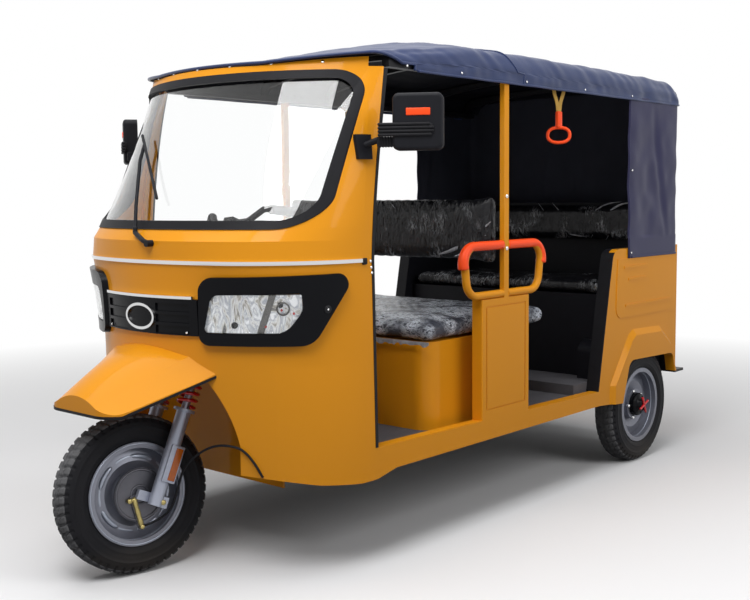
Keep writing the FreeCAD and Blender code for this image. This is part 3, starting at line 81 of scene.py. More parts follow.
def addObject(name, data):
    thing = bpy.data.objects.new(name, data)
    bpy.context.scene.collection.objects.link(thing)
    return thing


# camera

view = {
    "place": (2.8815, -2.0213, 1.2277),  # x, station, height
    "turn": (41.674, -5.5, -0.6),  # yaw, pitch, roll in degrees
    "lens": 50.62,
    "sensor": 36.0,
}


def placeCamera():
    yaw, pitch, roll = (math.radians(angle) for angle in view["turn"])
    ahead = Vector((-math.sin(yaw) * math.cos(pitch), math.cos(yaw) * math.cos(pitch), math.sin(pitch)))
    right = Vector((math.cos(yaw), math.sin(yaw), 0))
    up = right.cross(ahead)
    across = right * math.cos(roll) + up * math.sin(roll)
    upward = up * math.cos(roll) - right * math.sin(roll)
    data = bpy.data.cameras.new("camera")
    data.lens, data.sensor_width = view["lens"], view["sensor"]
    data.clip_start, data.clip_end = 0.05, 200
    camera = addObject("camera", data)
    turn = Matrix((across, upward, -ahead)).transposed().to_4x4()
    camera.matrix_world = Matrix.Translation(Vector(at(*view["place"]))) @ turn
    bpy.context.scene.camera = camera


placeCamera()
bpy.context.scene.view_settings.view_transform = "Standard"


# shader helpers

def makeMaterial(name):
    mat = bpy.data.materials.new("finish" + name.title().replace("_", ""))
    mat.use_nodes = True
    return mat, mat.node_tree, mat.node_tree.nodes["Principled BSDF"]


# a socket gets a plain value, or a link where the value is another node's output
def fill(tree, node, sockets):
    for name, value in sockets.items():
        if isinstance(value, bpy.types.NodeSocket):
            tree.links.new(value, node.inputs[name])
        else:
            node.inputs[name].default_value = value


def addNode(tree, kind, sockets, **settings):
    node = tree.nodes.new("ShaderNode" + kind)
    for name, value in settings.items():
        setattr(node, name, value)
    fill(tree, node, sockets)
    return node.outputs


def mathNode(tree, operation, *values, clamp=False):
    return addNode(tree, "Math", dict(enumerate(values)), operation=operation, use_clamp=clamp)[0]


def objectPlace(tree):
    return addNode(tree, "TexCoord", {})["Object"]


def noiseOf(tree, place, scale, detail=2, distortion=0):
    return addNode(tree, "TexNoise", {
        "Vector": place, "Scale": scale, "Detail": detail, "Distortion": distortion})["Fac"]


def mixColours(tree, mask, first, second):
    return addNode(tree, "Mix", {0: mask, 6: first, 7: second}, data_type="RGBA")[2]


def addBump(tree, shader, height, strength, depth):
    bump = addNode(tree, "Bump", {"Height": height, "Strength": strength, "Distance": depth})
    fill(tree, shader, {"Normal": bump["Normal"]})


def groupOf(name, inputs, outputs):
    tree = bpy.data.node_groups.new(name, "ShaderNodeTree")
    for label, kind, value in inputs:
        socket = tree.interface.new_socket(name=label, in_out="INPUT", socket_type="NodeSocket" + kind)
        socket.default_value = value
    for label, kind in outputs:
        tree.interface.new_socket(name=label, in_out="OUTPUT", socket_type="NodeSocket" + kind)
    start, end = tree.nodes.new("NodeGroupInput"), tree.nodes.new("NodeGroupOutput")
    return tree, start.outputs, end


# patchy colour: the colour times 1 + 2 * amount * (noise - 0.5)
def makePatchGroup():
    tree, start, end = groupOf("patchyColour", (
        ("Colour", "Color", (1, 1, 1, 1)),
        ("Scale", "Float", 4.0),
        ("Amount", "Float", 0.1)), (("Colour", "Color"),))
    swing = mathNode(tree, "SUBTRACT", noiseOf(tree, objectPlace(tree), start["Scale"], 5), 0.5)
    swing = mathNode(tree, "MULTIPLY", swing, start["Amount"])
    gain = mathNode(tree, "MULTIPLY_ADD", swing, 2.0, 1.0)
    scaled = addNode(tree, "VectorMath", {0: start["Colour"], "Scale": gain}, operation="SCALE")
    fill(tree, end, {"Colour": scaled[0]})
    return tree


# grain: fine noise, and coarse noise times its share, added together as a height
def makeGrainGroup():
    tree, start, end = groupOf("grainHeight", (
        ("Fine", "Float", 900.0),
        ("Coarse", "Float", 60.0),
        ("Mix", "Float", 0.5)), (("Height", "Float"),))
    place = objectPlace(tree)
    fine, coarse = (noiseOf(tree, place, start[label], 3) for label in ("Fine", "Coarse"))
    coarse = mathNode(tree, "MULTIPLY", coarse, start["Mix"])
    fill(tree, end, {"Height": mathNode(tree, "ADD", fine, coarse)})
    return tree


# dust: a mask that grows towards the ground, broken up by noise
def makeDustGroup():
    tree, start, end = groupOf("roadDust", (
        ("Height", "Float", 0.5),
        ("Amount", "Float", 0.3)), (("Mask", "Float"),))
    place = objectPlace(tree)
    height = addNode(tree, "SeparateXYZ", {"Vector": place})["Z"]
    low = mathNode(tree, "DIVIDE", height, start["Height"])
    low = mathNode(tree, "SUBTRACT", 1.0, low, clamp=True)
    mask = mathNode(tree, "MULTIPLY", low, noiseOf(tree, place, 9, 6))
    fill(tree, end, {"Mask": mathNode(tree, "MULTIPLY", mask, start["Amount"], clamp=True)})
    return tree


# crumpled clear film: where either of two noises crosses its middle there is a ridge, and the sharpened
# ridges, wherever a third, cloudy noise lets them, make a mask that paints pale highlights on the film
def makeFilmGroup():
    tree, start, end = groupOf("paintedFilmGlints", (
        ("Stretch", "Vector", (1.0, 1.0, 1.0)),
        ("Scale", "Float", 16.0),
        ("Sharp", "Float", 4.0),
        ("Bare", "Float", 0.5)), (("Mask", "Float"), ("Height", "Float")))
    place = objectPlace(tree)
    ridges = []
    for turn, share in (((0.0, 0.35, 0.0), 1.0), ((0.5, -0.6, 0.9), 1.7)):
        turned = addNode(tree, "Mapping", {"Vector": place, "Rotation": turn, "Scale": start["Stretch"]})
        scale = mathNode(tree, "MULTIPLY", start["Scale"], share)
        fold = mathNode(tree, "SUBTRACT", noiseOf(tree, turned[0], scale, 4, 0.35), 0.5)
        fold = mathNode(tree, "ABSOLUTE", fold)
        fold = mathNode(tree, "MULTIPLY", fold, 8.0)
        ridges.append(mathNode(tree, "SUBTRACT", 1.0, fold, clamp=True))
    ridge = mathNode(tree, "MAXIMUM", *ridges)
    sharp = mathNode(tree, "POWER", ridge, start["Sharp"])
    where = mathNode(tree, "SUBTRACT", noiseOf(tree, place, 9, 4), start["Bare"])
    where = mathNode(tree, "MULTIPLY", where, 6.0, clamp=True)
    fill(tree, end, {"Mask": mathNode(tree, "MULTIPLY", sharp, where, clamp=True), "Height": ridge})
    return tree


patchyColour = makePatchGroup()
grainHeight = makeGrainGroup()
roadDust = makeDustGroup()
paintedFilmGlints = makeFilmGroup()

# finishes

finishTable = {
    # colour, roughness, metallic, specular, patches' scale and amount,
    # grain: fine and coarse scale, coarse share, strength, depth
    "yellow_paint": ((0.73, 0.285, 0.010), 0.36, 0, 0.05, (2.2, 0.05), (420, 14, 2.0, 0.12, 0.0006)),
    "black_rubber": ((0.008, 0.008, 0.010), 0.55, 0, 0.15, (30, 0.3), (700, 120, 0.6, 0.25, 0.0005)),
    "orange_plastic": ((0.98, 0.075, 0.006), 0.40, 0, 0.3, (12, 0.05), (900, 60, 0.5, 0.1, 0.0004)),
    "floor_rubber": ((0.085, 0.083, 0.092), 0.75, 0, 0.2, (14, 0.25), (600, 40, 0.8, 0.4, 0.001)),
    "cast_metal": ((0.10, 0.10, 0.10), 0.6, 0.6, 0.5, (18, 0.3), (300, 40, 0.8, 0.5, 0.001)),
    "black_vinyl": ((0.010, 0.010, 0.013), 0.42, 0, 0.25, (20, 0.3), (520, 90, 0.7, 0.35, 0.0006)),
    "black_plastic": ((0.0060, 0.0063, 0.0090), 0.5, 0, 0.14, (25, 0.25), (800, 60, 0.5, 0.25, 0.0005)),
    "red_plastic": ((0.42, 0.008, 0.006), 0.16, 0, 0.5, (12, 0.1), None),
    "black_steel": ((0.010, 0.010, 0.012), 0.42, 0, 0.2, (10, 0.3), (240, 30, 0.6, 0.25, 0.0006)),
    "chrome": ((0.66, 0.66, 0.66), 0.12, 1, 0.5, (8, 0.04), None),
    "black_gloss": ((0.0045, 0.0048, 0.0065), 0.26, 0, 0.09, (10, 0.15), (900, 40, 0.5, 0.08, 0.0004)),
    "grey_plastic": ((0.034, 0.036, 0.050), 0.5, 0, 0.2, (25, 0.2), (700, 80, 0.5, 0.3, 0.0005)),
    "silver_paint": ((0.40, 0.43, 0.52), 0.36, 0.35, 0.5, (9, 0.08), (700, 50, 0.4, 0.12, 0.0004)),
    "red_paint": ((0.60, 0.006, 0.010), 0.28, 0, 0.5, (20, 0.1), None),
    "dark_steel": ((0.10, 0.10, 0.115), 0.42, 0.7, 0.5, (30, 0.25), (500, 60, 0.6, 0.3, 0.0006)),
    "tyre": ((0.0090, 0.0090, 0.0110), 0.62, 0, 0.15, (14, 0.3), (500, 60, 0.7, 0.35, 0.0007)),
    "tread_dust": ((0.135, 0.135, 0.140), 0.8, 0, 0.15, (45, 0.5), (500, 60, 0.7, 0.35, 0.0007)),
    # the curtain's navy is a darker, duller copy of the roof's: painted shade on the hanging sides, against
    # the roof's light from above
    "navy_fabric": ((0.019, 0.033, 0.100), 0.34, 0, 0.32, (5, 0.15), (650, 70, 0.5, 0.3, 0.0006)),
    "curtain_fabric_shaded": ((0.020, 0.0195, 0.062), 0.42, 0, 0.25, (6, 0.15), (650, 70, 0.5, 0.3, 0.0006)),
    "curtain_lining": ((0.034, 0.036, 0.050), 0.8, 0, 0.1, (8, 0.2), (650, 70, 0.5, 0.3, 0.0006)),
    "dark_lining": ((0.0085, 0.0090, 0.0130), 0.8, 0, 0.1, (8, 0.2), (650, 70, 0.5, 0.3, 0.0006)),
    # darker and lighter copies of one rim finish: painted shade on the rim, painted highlight on its beads
    # and pockets
    "rim_shade": ((0.22, 0.23, 0.275), 0.40, 0.45, 0.5, (12, 0.15), (700, 50, 0.4, 0.15, 0.0004)),
    "rim_highlight": ((0.34, 0.37, 0.44), 0.32, 0.55, 0.5, (14, 0.2), (700, 50, 0.4, 0.12, 0.0004)),
    "yellow_zinc": ((0.42, 0.34, 0.13), 0.32, 0.75, 0.5, (60, 0.4), (500, 90, 0.6, 0.2, 0.0004)),
    "amber_lens": ((0.50, 0.11, 0.004), 0.22, 0, 0.5, (90, 0.15), (420, 300, 0.8, 0.4, 0.0005)),
    # pale grey for the film's folds and loose edge: a painted highlight on clear film
    "film_highlight": ((0.34, 0.35, 0.38), 0.2, 0, 0.5, (60, 0.6), (300, 90, 0.8, 0.5, 0.002)),
    "webbing": ((0.52, 0.30, 0.05), 0.7, 0, 0.5, (40, 0.15), (900, 500, 0.8, 0.5, 0.0006)),
    "lamp_divider": ((0.10, 0.095, 0.09), 0.3, 0.4, 0.5, (90, 0.5), (900, 300, 0.8, 0.5, 0.001)),
}
coats = {"yellow_paint": (0.17, 0.07), "red_plastic": (0.4, 0.03), "red_paint": (0.3, 0.03)}
dust = {  # height it reaches, amount
    "black_steel": (0.5, 0.3), "silver_paint": (0.45, 0.15), "tyre": (0.12, 0.2), "rim_shade": (0.3, 0.2)}
dustColour = (0.30, 0.25, 0.19, 1)
films = {
    # colours of the vinyl and of the film's painted highlights, crease scale and sharpness, bare share,
    # stretch
    # the bench's vinyl is a lighter copy of the backrests' black vinyl, and its film highlights are brighter:
    # painted light on the seat's upward face
    "film_bench_lit": ((0.054, 0.060, 0.080), (0.80, 0.86, 0.95), 24.0, 2.2, 0.36, (1.0, 1.6, 2.0)),
    "film_back": ((0.0065, 0.0065, 0.0085), (0.55, 0.57, 0.60), 15.0, 9.0, 0.53, (2.8, 1.0, 0.8)),
}


# plain sockets, then patchy colour, and a coat, dust or a grain bump where the tables say so
def finishMaterial(name, colour, rough, metal, specular, patch, grain):
    mat, tree, shader = makeMaterial(name)
    fill(tree, shader, {"Roughness": rough, "Metallic": metal, "Specular IOR Level": specular})
    if name in coats:
        fill(tree, shader, dict(zip(("Coat Weight", "Coat Roughness"), coats[name])))
    base = addNode(tree, "Group", {"Colour": (*colour, 1), "Scale": patch[0], "Amount": patch[1]},
                   node_tree=patchyColour)["Colour"]
    if name in dust:
        mask = addNode(tree, "Group", dict(zip(("Height", "Amount"), dust[name])), node_tree=roadDust)
        base = mixColours(tree, mask["Mask"], base, dustColour)
    fill(tree, shader, {"Base Color": base})
    if grain:
        height = addNode(tree, "Group", dict(zip(("Fine", "Coarse", "Mix"), grain)), node_tree=grainHeight)
        addBump(tree, shader, height["Height"], *grain[3:])
    return mat


def filmMaterial(name, dark, pale, scale, sharp, bare, stretch):
    mat, tree, shader = makeMaterial(name)
    film = addNode(tree, "Group", {"Scale": scale, "Sharp": sharp, "Bare": bare, "Stretch": stretch},
                   node_tree=paintedFilmGlints)
    # the pale colour mixed in along the ridges is a painted highlight on the clear film
    colour = mixColours(tree, film["Mask"], (*dark, 1), (*pale, 1))
    fill(tree, shader, {"Base Color": colour, "Roughness": 0.24, "Specular IOR Level": 0.30})
    addBump(tree, shader, film["Height"], 0.6, 0.004)
    return mat


# clear glass with faint smears
def glassMaterial(name):
    mat, tree, shader = makeMaterial(name)
    smear = mathNode(tree, "MULTIPLY", noiseOf(tree, objectPlace(tree), 6), 0.02)
    fill(tree, shader, {"Base Color": (0.975, 0.985, 0.985, 1), "Transmission Weight": 1.0, "IOR": 1.45,
                        "Roughness": smear})
    return mat


# lamp bowls: slanting streaks of pale and dark silver, painted reflections and shade that stand for the
# facets
def facetReflectionMaterial(name):
    mat, tree, shader = makeMaterial(name)
    turned = addNode(tree, "Mapping", {
        "Vector": objectPlace(tree), "Rotation": (0.0, -0.6, 0.0), "Scale": (2.0, 1.0, 0.8)})
    streaks = noiseOf(tree, turned[0], 13, 4, 2.6)
    colour = addNode(tree, "ValToRGB", {0: streaks})["Color"]
    stops = ((0.30, (0.10, 0.10, 0.11)), (0.40, (0.46, 0.43, 0.38)), (0.48, (0.90, 0.90, 0.90)),
             (0.55, (0.42, 0.44, 0.50)), (0.64, (0.97, 0.98, 1.0)))
    elements = colour.node.color_ramp.elements
    while len(elements) < len(stops):
        elements.new(0.5)
    for element, (spot, tone) in zip(elements, stops):
        element.position, element.color = spot, (*tone, 1)
    fill(tree, shader, {"Base Color": colour, "Metallic": 0.35, "Roughness": 0.22})
    addBump(tree, shader, streaks, 0.7, 0.004)
    return mat


finishes = {name: finishMaterial(name, *row) for name, row in finishTable.items()}
finishes.update({name: filmMaterial(name, *row) for name, row in films.items()})
finishes["clear_glass"] = glassMaterial("clear_glass")
finishes["lamp_facet_reflections"] = facetReflectionMaterial("lamp_facet_reflections")


def coverNode(node, finish):
    nodes[node].data.materials.clear()
    nodes[node].data.materials.append(finishes[finish])


for part in frame["record"]["subparts"]:
    coverNode(part["node"], part["material_slot"])
# the rims take the darker copy of their finish, as painted shade
for node in ("front_rim", "rear_rim_left", "rear_rim_right"):
    coverNode(node, "rim_shade")
print("materials made:", len(finishes))

# mesh helpers: a surface is a grid of points, rows by columns by three

def gridFaces(rows, columns, aroundRows=False, aroundColumns=False):
    i = np.arange(rows if aroundRows else rows - 1)[:, None]
    j = np.arange(columns if aroundColumns else columns - 1)[None, :]
    below, beside = (i + 1) % rows, (j + 1) % columns
    quads = np.stack([i * columns + j, i * columns + beside,
                      below * columns + beside, below * columns + j], -1)
    return quads.reshape(-1, 4)


# the step across the columns crossed with the step down the rows
def gridNormals(grid):
    normal = np.cross(np.gradient(grid, axis=1), np.gradient(grid, axis=0))
    return normal / np.maximum(np.linalg.norm(normal, axis=2, keepdims=True), 1e-9)


# a closed sheet: the grid, the same grid moved back by the thickness, and strips round the border
def sheetParts(grid, thickness):
    rows, columns = grid.shape[:2]
    back = grid - gridNormals(grid) * thickness
    count = rows * columns
    outer = gridFaces(rows, columns)
    top, bottom = np.arange(columns), np.arange(columns) + (rows - 1) * columns
    left, right = np.arange(rows) * columns, np.arange(rows) * columns + columns - 1
    ring = np.concatenate([top, right[1:], bottom[::-1][1:], left[::-1][1:-1]])
    after = np.roll(ring, -1)
    rim = np.stack([after, ring, ring + count, after + count], -1)
    faces = np.concatenate([outer, outer[:, ::-1] + count, rim])
    return np.concatenate([grid.reshape(-1, 3), back.reshape(-1, 3)]), faces.tolist()


# two directions square to an axis and to each other; up is any direction that the axis isn't
def squareTo(axis, up):
    side = np.cross(axis, np.asarray(up, float))
    side /= np.linalg.norm(side, axis=-1, keepdims=True)
    return side, np.cross(side, axis)


# a tube: circles square to the path, with a fan of triangles over each open end
def tubeParts(path, radius, sides, up=(0, 0, 1), closed=False):
    tangent = (np.roll(path, -1, 0) - np.roll(path, 1, 0)) if closed else np.gradient(path, axis=0)
    tangent /= np.linalg.norm(tangent, axis=1, keepdims=True)
    side, over = squareTo(tangent, up)
    turn = np.linspace(0, 2 * math.pi, sides, endpoint=False)[None, :, None]
    size = np.broadcast_to(radius, (len(path),))[:, None, None]
    ring = side[:, None] * np.cos(turn) + over[:, None] * np.sin(turn)
    points = (path[:, None] + ring * size).reshape(-1, 3)
    faces = gridFaces(len(path), sides, closed, True)[:, ::-1].tolist()
    if closed:
        return points, faces
    around, last = np.arange(sides), len(points) - sides
    after = (around + 1) % sides
    for number, (first, second) in enumerate(((after, around), (last + around, last + after))):
        faces += np.stack([first, second, np.full(sides, len(points) + number)], -1).tolist()
    return np.concatenate([points, path[:1], path[-1:]]), faces


# a turned shape: the profile (distance from the axis, place along it) swept round the axis
def turnedParts(profile, centre, axis, count, up=(0, 0, 1), closed=False, shape=None):
    axis = np.asarray(axis, float) / np.linalg.norm(axis)
    side, over = squareTo(axis, up)
    turn = np.linspace(0, 2 * math.pi, count, endpoint=False)[None, :]
    far, along = (np.asarray(profile, float)[:, k, None] + 0 * turn for k in (0, 1))
    if shape is not None:
        far = shape(far, along, turn)
    grid = (np.asarray(centre, float) + axis * along[..., None]
            + side * (far * np.cos(turn))[..., None] - over * (far * np.sin(turn))[..., None])
    return grid.reshape(-1, 3), gridFaces(len(profile), count, closed, True).tolist()


# a box with all edges rounded: corner points pushed out along a squashed sphere
def roundedBox(centre, half, corner):
    steps = 4
    half, corner = np.asarray(half, float), min(corner, *half)
    quarter = np.linspace(0, math.pi / 2, steps)
    level = np.concatenate([quarter - math.pi / 2, quarter])
    lift = np.repeat([-1, 1], steps)
    around = np.concatenate([quarter + k * math.pi / 2 for k in range(4)])
    ring = np.cos(level)[:, None] * corner
    x = np.repeat([1, -1, -1, 1], steps) * (half[0] - corner) + ring * np.cos(around)
    y = np.repeat([1, 1, -1, -1], steps) * (half[1] - corner) + ring * np.sin(around)
    z = (lift * (half[2] - corner) + np.sin(level) * corner)[:, None] + 0 * x
    rows, columns = x.shape
    faces = gridFaces(rows, columns, False, True).tolist()
    faces.append(list(range(columns))[::-1])
    faces.append(list(range((rows - 1) * columns, rows * columns)))
    return (np.stack([x, y, z], -1) + centre).reshape(-1, 3), faces


# small round heads, such as bolts, rivets and snaps: a low dome on a rim
def headParts(place, normal, radius, height, sides):
    t = np.linspace(0, math.pi / 2, 6)[:-1]
    dome = [(radius * math.cos(a), height * (0.35 + 0.65 * math.sin(a))) for a in t]
    profile = [(radius, -height), *dome, (radius * 0.02, height)]
    up = (0, 0, 1) if abs(normal[2]) < 0.8 else (0, 1, 0)
    points, faces = turnedParts(profile, place, normal, sides, up=up)
    return points, faces + [list(range(sides))]


# an arc round an axis: its points at a distance from the axis and a place along it
def arcLine(centre, axis, radius, along, start, end, count=24):
    side, over = squareTo(axis, (0, 0, 1))
    turn = np.linspace(start, end, count)[:, None]
    return centre + axis * along + radius * (side * np.cos(turn) - over * np.sin(turn))


def circleLine(centre, axis, radius, along, count):
    return arcLine(centre, axis, radius, along, 0, 2 * math.pi, count + 1)[:-1]


# a thin ring: a closed tube round a circle
def ringParts(centre, axis, radius, along, count, thick):
    return tubeParts(circleLine(centre, axis, radius, along, count), thick, 8, up=axis, closed=True)


# one piece from a list of parts: it rides on a body and may stand for a CAD node
def makePiece(name, parts, finish, body="body", node=None):
    faces, start = [], 0
    for points, quads in parts:
        faces += [[corner + start for corner in face] for face in quads]
        start += len(points)
    mesh = bpy.data.meshes.new(name)
    mesh.from_pydata(np.concatenate([points for points, quads in parts]).tolist(), [], faces)
    mesh.materials.append(finishes[finish])
    mesh.polygons.foreach_set("use_smooth", [True] * len(mesh.polygons))
    work = bmesh.new()
    work.from_mesh(mesh)
    bmesh.ops.recalc_face_normals(work, faces=work.faces)
    work.to_mesh(mesh)
    work.free()
    piece = addObject(name, mesh)
    if body:
        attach(piece, body)
    if node:
        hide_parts(node)
    return piece


# a sheet's back gets its own finish: its faces are the second half before the rim
def lineBack(piece, grid, finish):
    count = (grid.shape[0] - 1) * (grid.shape[1] - 1)
    index = np.zeros(len(piece.data.polygons), int)
    index[count:2 * count] = 1
    piece.data.materials.append(finishes[finish])
    piece.data.polygons.foreach_set("material_index", index)


def addModifier(piece, kind, **values):
    modifier = piece.modifiers.new(kind.lower(), kind)
    for key, value in values.items():
        setattr(modifier, key, value)


def applyModifiers(piece):
    bpy.context.view_layer.update()
    graph = bpy.context.evaluated_depsgraph_get()
    mesh = bpy.data.meshes.new_from_object(piece.evaluated_get(graph))
    old = piece.data
    piece.modifiers.clear()
    piece.data = mesh
    bpy.data.meshes.remove(old)


# nose: at each height a wide front arc, a tighter corner arc and a straight side

nose = {
    "half": 0.604,
    "back": 0.740,
    "levels": np.array([
        # height, front station, tangent station, corner radius
        (0.200, 0.060, 0.533, 0.400),
        (0.700, 0.060, 0.533, 0.400),
        (1.030, 0.060, 0.490, 0.400),
        (1.098, 0.060, 0.497, 0.400),
        (1.138, 0.090, 0.500, 0.350),
        (1.690, 0.325, 0.672, 0.120)]),
}


# x and station along one level; the front arc meets the corner arc where both share a tangent
def nosePlan(front, tangent, corner, half):
    across, along = half - corner, tangent - front
    radius = (across**2 + along**2 - corner**2) / (2 * (along - corner))
    meet = math.atan2(tangent - front - radius, across)
    t = np.linspace(-math.pi / 2, meet, 90)
    arc = np.stack([radius * np.cos(t), front + radius + radius * np.sin(t)], 1)
    t = np.linspace(meet, 0, 60)[1:]
    bend = np.stack([across + corner * np.cos(t), tangent + corner * np.sin(t)], 1)
    side = np.stack([np.full(8, half), np.linspace(tangent, nose["back"], 9)[1:]], 1)
    return np.concatenate([arc, bend, side])


# between two levels the curve is a straight blend of theirs
def noseCurve(height, proud):
    levels = nose["levels"]
    row = int(np.clip(np.searchsorted(levels[:, 0], height) - 1, 0, len(levels) - 2))
    low, high = (nosePlan(front - proud, tangent, corner + proud, nose["half"] + proud)
                 for front, tangent, corner in levels[row:row + 2, 1:])
    share = (height - levels[row, 0]) / (levels[row + 1, 0] - levels[row, 0])
    return low * (1 - share) + high * share


def onNose(x, height, proud=0.0):
    curve = noseCurve(height, proud)
    return at(x, np.interp(np.abs(x), curve[:, 0], curve[:, 1]), height)


def noseNormal(x, height):
    step = 0.004
    across = onNose(x + step, height) - onNose(x - step, height)
    upward = onNose(x, height + step) - onNose(x, height - step)
    normal = np.cross(across, upward)
    return normal / np.linalg.norm(normal)


# steered frame: x along the front axle, z up the steering axis, y square to both
steerPlace, steerUp = (np.array(joints["steer"][key], float) for key in ("pos_m", "axis"))
frontWheel, frontAxle = (np.array(joints["front_wheel_spin"][key], float) for key in ("pos_m", "axis"))
steerAxes = np.stack([frontAxle, np.cross(steerUp, frontAxle), steerUp])
axleInFork = (frontWheel - steerPlace) @ steerAxes.T


def steered(points):
    return steerPlace + np.asarray(points, float) @ steerAxes


# brake cable: from the brake arm's tip, up behind the left leg, over to the cowl's foot

brakeCable = {
    "radius": 0.004,
    "nearFork": (  # beside the wheel: along the axle, behind and above its centre
        (0.068, 0.047, -0.092), (0.080, 0.086, -0.062), (0.098, 0.106, -0.020),
        (0.107, 0.104, 0.025), (0.112, 0.098, 0.070), (0.116, 0.096, 0.112)),
    "acrossGap": (  # x, station, height
        (0.153, 0.118, 0.373), (0.198, 0.124, 0.406), (0.256, 0.126, 0.434), (0.311, 0.128, 0.447),
        (0.361, 0.147, 0.443), (0.378, 0.157, 0.431), (0.394, 0.168, 0.412), (0.415, 0.182, 0.377),
        (0.424, 0.193, 0.347)),
}


# a smooth line: a NURBS spline over the route's points, read back as a run of points
def splineLine(points):
    curve = bpy.data.curves.new("route", "CURVE")
    curve.dimensions = "3D"
    spline = curve.splines.new("NURBS")
    spline.points.add(len(points) - 1)
    spline.points.foreach_set("co", np.concatenate([points, np.ones((len(points), 1))], 1).reshape(-1))
    spline.order_u = 3
    spline.use_endpoint_u = True
    spline.resolution_u = 8
    holder = addObject("route", curve)
    bpy.context.view_layer.update()
    mesh = bpy.data.meshes.new_from_object(holder)
    line = pointsOf(mesh)
    bpy.data.objects.remove(holder)
    bpy.data.curves.remove(curve)
    bpy.data.meshes.remove(mesh)
    return line


def pointsOf(mesh):
    flat = np.empty(len(mesh.vertices) * 3)
    mesh.vertices.foreach_get("co", flat)
    return flat.reshape(-1, 3)


def makeCable():
    route = np.concatenate([
        steered(axleInFork + np.array(brakeCable["nearFork"])), at(*np.array(brakeCable["acrossGap"]).T)])
    parts = [tubeParts(splineLine(route), brakeCable["radius"], 10, up=(0.3, -0.9, 0.1))]
    cable = makePiece("brakeCable", parts, "black_rubber", body=None)
    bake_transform(cable)
    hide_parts("brake_cable")


makeCable()
print("cable made")

# windshield glass: the nose's surface set back, inside a rounded outline seen from the front

screen = {"half": 0.559, "foot": 1.147, "head": 1.633, "footRadius": 0.105, "headRadius": 0.085,
          "inset": 0.009, "thick": 0.004}


# half width of the outline at a height, its corners being quarter circles
def screenHalf(height):
    foot, head = screen["footRadius"], screen["headRadius"]
    low = np.clip((screen["foot"] + foot - height) / foot, 0, 1)
    high = np.clip((height - screen["head"] + head) / head, 0, 1)
    return screen["half"] - foot * (1 - np.sqrt(1 - low**2)) - head * (1 - np.sqrt(1 - high**2))


def makeGlassPane():
    foot, head = screen["foot"], screen["head"]
    t = np.linspace(0, 1, 61)
    rise = t - np.sin(2 * math.pi * t) / (2 * math.pi) * 0.75  # closer rows near foot and head
    heights = np.clip(foot + (head - foot) * rise, foot, head)
    across = np.sin(np.linspace(-math.pi / 2, math.pi / 2, 121))
    grid = np.array([onNose(across * screenHalf(z), z, -screen["inset"]) for z in heights])
    makePiece("windshieldPane", [sheetParts(grid, screen["thick"])], "clear_glass", node="windshield_glass")


makeGlassPane()
print("glass made")

# canopy: one cloth over rails and bows, with a second cloth sewn below it round sides and back

canopy = {
    "rail": 1.655,
    "hem": 1.650,
    "half": 0.611,
    "front": 0.315,
    "rear": 2.727,
    "bows": (1.104, 1.560, 2.243, 2.650),
    "curtainFront": 2.230,
    "curtainFoot": 0.951,
    "corner": 0.045,
    "overhang": 0.010,
    "cloth": 0.0035,
    "slack": 0.006,
    "ripples": ((4, (4, 22), 0.0050), (9, (22, 5), 0.0044)),  # seed, smoothing along each way, height
    "wave": 0.0025,
    "fade": 0.02,
    "sections": np.array([
        # station, crown above the rails, side above the rails, shoulder radius
        (0.360, 0.020, -0.003, 0.018),
        (1.104, 0.171, 0.039, 0.082),
        (1.154, 0.143, 0.035, 0.082),
        (1.560, 0.160, 0.037, 0.082),
        (2.243, 0.145, 0.035, 0.082),
        (2.650, 0.128, 0.028, 0.082),
        (2.727, 0.085, -0.003, 0.082)]),
}


# the cross-section at a station: share 0 is the crown, 1 the hem; up to 0.62 a wide arc, up to
# 0.88 a shoulder arc that shares its tangent, then a straight side
def canopyPoint(share, station):
    rows = canopy["sections"]
    crown, top, radius = (np.interp(station, rows[:, 0], rows[:, k]) for k in (1, 2, 3))
    crown, top = canopy["rail"] + crown, canopy["rail"] + top
    across, drop = canopy["half"] - radius, crown - top
    wide = (across**2 + drop**2 - radius**2) / (2 * (drop - radius))
    meet = np.arctan2(across, wide - drop)
    size = np.abs(share)
    angle = meet * np.clip(size / 0.62, 0, 1)
    bend = meet + (math.pi / 2 - meet) * np.clip((size - 0.62) / 0.26, 0, 1)
    side = np.clip((size - 0.88) / 0.12, 0, 1)
    x = np.where(size > 0.62, across + radius * np.sin(bend), wide * np.sin(angle))
    z = np.where(size > 0.62, top + radius * np.cos(bend), crown - wide + wide * np.cos(angle))
    z = np.where(size > 0.88, top + (canopy["hem"] - top) * side, z)
    return np.sign(share) * x, z


# random numbers smoothed along rows and columns, scaled to reach one
def smoothNoise(shape, seed, passes):
    field = np.random.default_rng(seed).normal(size=shape)
    for axis, count in enumerate(passes):
        kernel = np.hanning(count * 2 + 3)
        kernel /= kernel.sum()
        pad = [(0, 0), (0, 0)]
        pad[axis] = (len(kernel) // 2, len(kernel) // 2)
        wide = np.pad(field, pad, mode="reflect")
        field = np.apply_along_axis(lambda line: np.convolve(line, kernel, "valid"), axis, wide)
    return field / np.abs(field).max()


